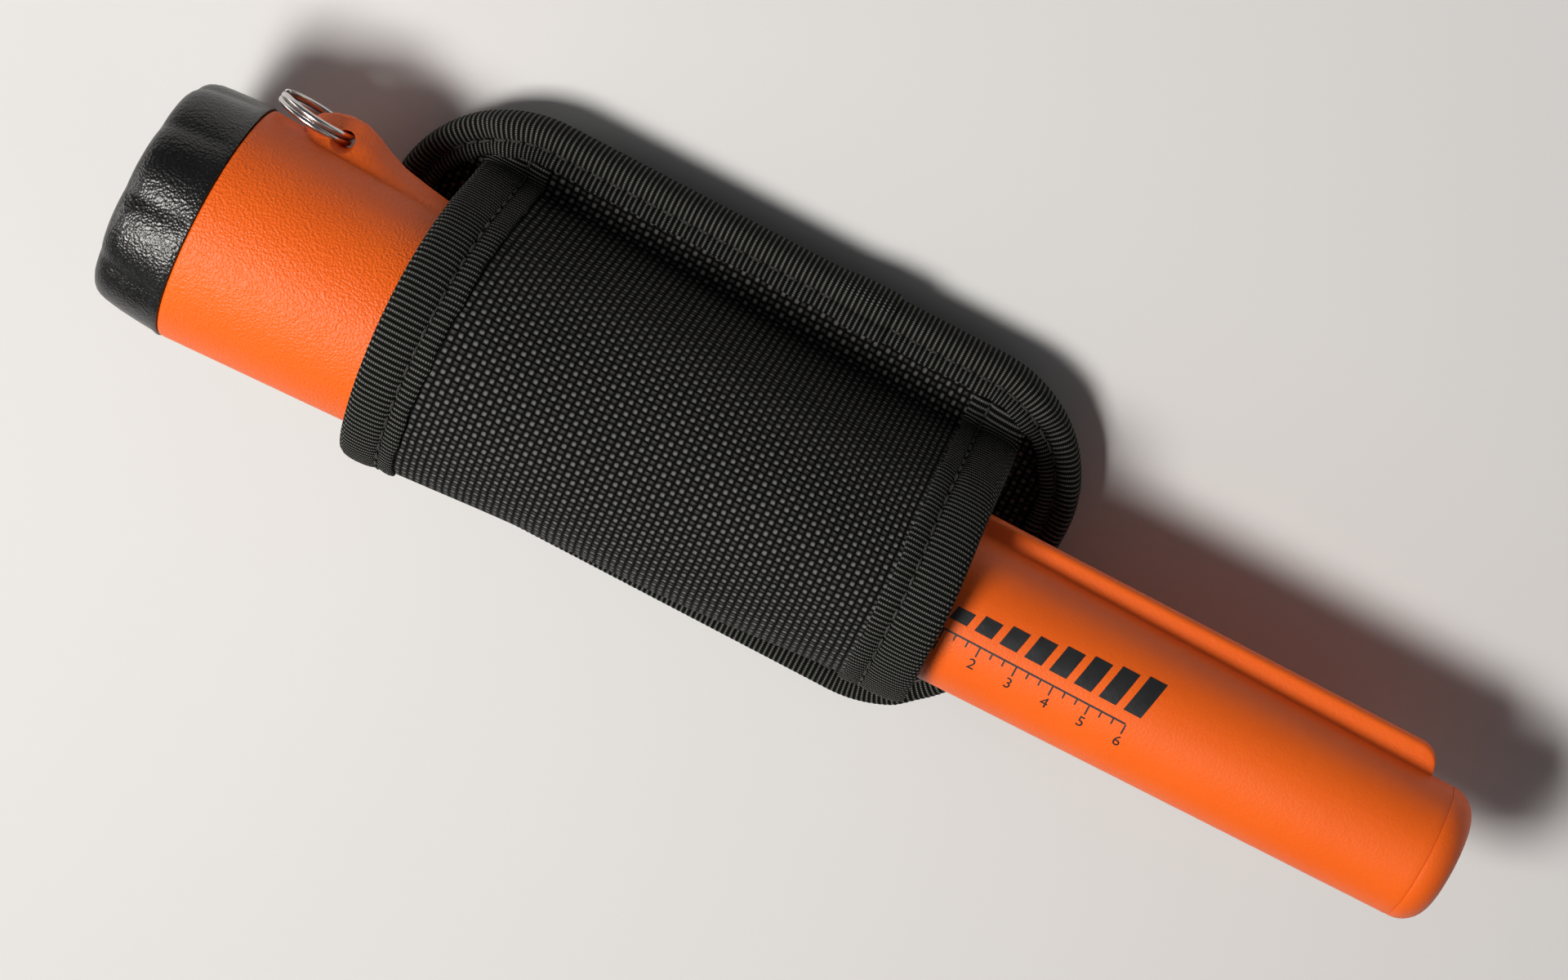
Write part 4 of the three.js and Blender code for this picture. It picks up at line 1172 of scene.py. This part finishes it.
def edge_binding():
    ribs = round(PERIMETER / RIB)
    steps, stretch = 4 * ribs, ribs * RIB / PERIMETER
    pace = PERIMETER / steps
    sections = []
    for j in range(steps):
        t = j * pace
        (x, y), out = outline_point(t)
        back_from_seam = (SEAM_AT - t) % PERIMETER
        lap = 0.85 * (1 - smooth(5, 12, back_from_seam)) if back_from_seam < 12 else 0.0
        section = edge_section(tape_height(x), t, lap)
        lift = rib_lift(t * stretch)
        ring = []
        count = len(section)
        for k, (n, z, share) in enumerate(section):
            before, after = section[k - 1], section[(k + 1) % count]
            dn, dz = after[0] - before[0], after[1] - before[1]
            size = math.hypot(dn, dz) or 1
            n, z = n + share * lift * dz / size - DRAWN_IN, z + share * lift * dn / size
            ring.append(Vector((x + out[0] * n, y + out[1] * n, z)))
        sections.append(ring)
    count = len(sections[0])
    around = lengths([(n, z) for n, z, _ in edge_section(EDGE_TOP, 0, 0)])
    around.append(around[-1] + 0.6)
    return bent_sheet(count, steps, lambda i, j: sections[j % steps][i % count],
                      lambda i, j: (j * pace * stretch, around[i]))


piece(edge_binding(), "edge_tape", HOLSTER_BOARD, "holster", TAPE, ["panel_binding"],
      merge=1e-4, sharp=80)

# %% Stitches round the panel
places = []
stitch_count = int(PERIMETER / STITCH_PITCH)
for k in range(stitch_count):
    (x, y), out = outline_point((k + 0.5) * PERIMETER / stitch_count, DRAWN_IN - TAPE_STITCH)
    way = (-out[1], out[0], 0)
    places.append(((x, y, tape_height(x) - 0.38), way, (0, 0, 1)))
    places.append(((x, y, PANEL_LOW - 0.95), way, (0, 0, -1)))
piece(stitches(places), "edge_stitches", HOLSTER_BOARD, "holster", THREAD, merge=1e-5)

# %% [markdown]
# The two mouths of the sleeve are bound the same way, but here the tape climbs over the arch and
# lies out along both flanges until it dives under the panel's binding.

# %% Bindings of the sleeve's mouths
TAPE_HALF, SEWN_AT = 27.3, 0.69  # how far out the tape reaches, and where across it the sewing runs


def resampled(points, count):
    """The same line cut into equal steps, and its length."""
    run = lengths(points)
    out, k = [], 0
    for i in range(count + 1):
        want = run[-1] * i / count
        while k < len(run) - 2 and run[k + 1] < want:
            k += 1
        t = (want - run[k]) / ((run[k + 1] - run[k]) or 1)
        a, b = points[k], points[k + 1]
        out.append((a[0] + (b[0] - a[0]) * t, a[1] + (b[1] - a[1]) * t))
    return out, run[-1]


def mouth_tape(mouth, lip, thick):
    """Tape folded over the sleeve's end at station mouth, reaching in to station lip."""
    way = 1 if lip > mouth else -1
    width = abs(lip - mouth)
    base = hat_points(0, TAPE_HALF)
    steps = round(lengths(base)[-1] / RIB) * 4
    line, total = resampled(base, steps)
    ways = []
    for k in range(steps + 1):
        a, b = line[max(0, k - 1)], line[min(steps, k + 1)]
        size = math.dist(a, b)
        ways.append((-(b[1] - a[1]) / size, (b[0] - a[0]) / size))
    if ways[steps // 2][1] < 0:
        ways = [(-a, -b) for a, b in ways]
    profile = [(1.0, -0.02, 0.2), (0.985, 0.2, 1), (0.93, 0.3, 1), (0.84, 0.26, 1), (0.73, 0.03, 0.9),
               (SEWN_AT, -0.4, 0.5), (0.65, 0.03, 0.9), (0.57, 0.3, 1), (0.45, 0.46, 1), (0.31, 0.5, 1),
               (0.18, 0.42, 1), (0.08, 0.16, 1)]
    sections = []
    for j in range(steps + 1):
        t = total * j / steps
        (y, z), out = line[j], ways[j]
        flat_part = z < FLANGE_TOP + 0.1
        lift = rib_lift(t)
        pull = 0.5 + 0.5 * math.cos(2 * math.pi * t / STITCH_PITCH)
        wave = 0.014 * math.sin(0.5 * t) + 0.01 * math.sin(1.21 * t + 1)
        ring = []
        for share, h, ribbed in profile:
            extra = -0.12 * pull if share == SEWN_AT else 0.0
            s = mouth + way * width * (share + (wave if share > 0.9 else 0))
            ring.append((s, thick + h * 0.85 + extra + ribbed * lift))
        gap = 0.3
        edge, corner, deep, under = (-0.9, -1.25, -1.2, 0.05) if flat_part else (-2.0, -2.6, -2.0, 0.75)
        ring += [(mouth - way * 0.05 - way * lift * 0.8, thick - 0.35),
                 (mouth - way * (0.2 + lift), thick - 1.1),
                 (mouth - way * (0.2 + lift), edge), (mouth - way * 0.05, corner)]
        ring += [(mouth + way * width * 0.3, deep - under), (mouth + way * width * 0.97, deep - under),
                 (mouth + way * width * 0.97, deep - under + 0.04)]
        ring += [(mouth + way * 1.0, deep - min(under - 0.03, gap)), (mouth + way * 0.78, deep + 0.2),
                 (mouth + way * 0.78, gap - 0.2), (mouth + way * 1.0, gap),
                 (mouth + way * width * 0.98, gap)]
        placed = []
        for s, h in ring:
            yy, zz = narrowed(s, y + out[0] * h, z + out[1] * h)
            limit = panel_reach(leaned((s, yy, zz)).x, 6.2)
            if zz < FLANGE_TOP + 2.0 and limit > 0:
                yy = max(-limit, min(limit, yy))
            placed.append(leaned((s, yy, zz)))
        sections.append(placed)
    count = len(sections[0])
    around = lengths([(s * width, h) for s, h, _ in profile])
    around += [around[-1] + 0.5 * k for k in range(1, count - len(around) + 2)]
    tape = closed(bent_sheet(count, steps, lambda i, j: sections[j][i % count],
                             lambda i, j: (total * j / steps, around[i])))
    sewn = []
    number_of = int(total / STITCH_PITCH)
    for k in range(number_of):
        j = round((k + 0.5) / number_of * steps)
        (y, z), out = line[j], ways[j]
        s = mouth + way * width * SEWN_AT
        h = thick + 0.06
        a = narrowed(s, y + out[0] * h, z + out[1] * h)
        ahead = line[min(steps, j + 1)]
        b = narrowed(s, ahead[0] + out[0] * h, ahead[1] + out[1] * h)
        here, ahead = leaned((s, *a)), leaned((s, *b))
        if abs(a[0]) < panel_reach(here.x, 6.5) or a[1] > FLANGE_TOP + 3:
            sewn.append((here, ahead - here, (0, *out)))
    return tape, sewn


top_tape, top_sewn = mouth_tape(45.7, 55.1, 0.75)
foot_tape, foot_sewn = mouth_tape(141.9, 131.6, 0.85)
piece(top_tape, "mouth_tape", HOLSTER_BOARD, "holster", TAPE, ["sleeve_binding_top"],
      merge=1e-4, sharp=80)
piece(foot_tape, "foot_tape", HOLSTER_BOARD, "holster", TAPE, ["sleeve_binding_bottom"],
      merge=1e-4, sharp=80)
piece(stitches(top_sewn + foot_sewn), "mouth_stitches", HOLSTER_BOARD, "holster", THREAD,
      merge=1e-5)

# %% [markdown]
# ## Belt loop
# A wide strap of the same cloth stands off the back to take a belt. Its ends are sewn flat with a
# box of stitches.

# %% Belt loop
LOOP_FLAT, LOOP_RAMP, LOOP_TAB, LOOP_HALF, STRAP = 27.0, 6.0, 8.0, 22.0, 1.8
TAB_TOP = AXIS_HEIGHT / MM + PANEL_LOW - 0.3
FLOOR_SHIFT = Vector((CAP_END / -MM, 0, -AXIS_HEIGHT / MM))  # from the floor under the origin to the board


def strap_low(x):
    """Height of the strap's lower face, from the floor."""
    return (TAB_TOP - STRAP) * smooth(LOOP_FLAT, LOOP_FLAT + LOOP_RAMP, abs(x))


def belt_strap():
    end = LOOP_FLAT + LOOP_RAMP + LOOP_TAB
    step = 0.75
    xs = [-end + step * k for k in range(int(2 * end / step) + 1)]
    xs[-1] = end
    ys = [-LOOP_HALF, -LOOP_HALF + 0.4, *[-21.0 + 1.5 * k for k in range(29)], LOOP_HALF - 0.4, LOOP_HALF]
    columns = 2 * len(ys)

    def place(i, j):
        i %= columns
        lower = i < len(ys)
        y = ys[i] if lower else ys[columns - 1 - i]
        rounding = 0.35 if abs(y) > LOOP_HALF - 0.1 else 0.0
        z = strap_low(xs[j]) + (rounding if lower else STRAP - rounding)
        return Vector((xs[j], y, z)) + FLOOR_SHIFT

    return closed(bent_sheet(columns, len(xs) - 1, place,
                             lambda i, j: (ys[min(i, columns - 1 - i) % len(ys)], xs[j])))


piece(belt_strap(), "belt_strap", HOLSTER_BOARD, "holster", PANEL_WEAVE, ["belt_loop"],
      merge=1e-4)
box_sewn = []
for end in (-1, 1):
    box_sewn += [((end * x, -18.6 + STITCH_PITCH * k), (0, 1, 0)) for x in (34.6, 39.4) for k in range(13)]
    box_sewn += [((end * (35.8 + 2.4 * k), y), (1, 0, 0)) for y in (-20.1, 20.1) for k in range(2)]
box_places = [(Vector((x, y, strap_low(x) - 0.02)) + FLOOR_SHIFT, way, (0, 0, -1))
              for (x, y), way in box_sewn]
piece(stitches(box_places, 2.3, 0.4), "belt_stitches", HOLSTER_BOARD, "holster", THREAD,
      merge=1e-5)

# %% [markdown]
# ## Studio
# A pale seamless floor, a soft key light from the near side and above, a weaker fill, and a low light
# from the cap's end that picks out the edges.
# The colours are shown plainly, without a film curve, so that the orange stays orange.

# %% Floor, lights and colour
LIGHTS = {"key": (10.8, 0.3, (-0.3, -0.16, 0.88)), "fill": (0.9, 1.0, (0.9, 0.3, 0.8)),
          "rim": (1.6, 0.4, (-0.75, -0.1, 0.22))}  # watts, size and place in metres
WARM_WHITE, SKY, SKY_STRENGTH = (1, 0.965, 0.92), (0.9, 0.93, 1, 1), 0.07


def studio():
    scene = bpy.context.scene
    bm = bmesh.new()
    bmesh.ops.create_grid(bm, x_segments=1, y_segments=1, size=3)
    mesh = bpy.data.meshes.new("floor")
    bmesh.ops.translate(bm, verts=bm.verts, vec=(0, 0, cad_low.z - 0.0002))
    bm.to_mesh(mesh)
    bm.free()
    floor = bpy.data.objects.new("floor", mesh)
    scene.collection.objects.link(floor)
    made, tree, shader = new_finish("floor_paper", roughness=0.75)
    plug(tree, shader, base_color=colours(tree, speckle(tree, 3), (0.56, 0.56, 0.56), (0.60, 0.60, 0.60)))
    mesh.materials.append(made)
    for name, (energy, size, place) in LIGHTS.items():
        light = bpy.data.lights.new(name, "AREA")
        light.energy, light.size, light.color = energy, size, WARM_WHITE
        lamp = bpy.data.objects.new(name, light)
        scene.collection.objects.link(lamp)
        lamp.location = place
        lamp.rotation_euler = (-Vector(place)).to_track_quat("-Z", "Y").to_euler()
    world = bpy.data.worlds.new("studio")
    world.use_nodes = True
    background = world.node_tree.nodes["Background"]
    background.inputs["Color"].default_value = SKY
    background.inputs["Strength"].default_value = SKY_STRENGTH
    scene.world = world
    scene.view_settings.view_transform = "Standard"


studio()
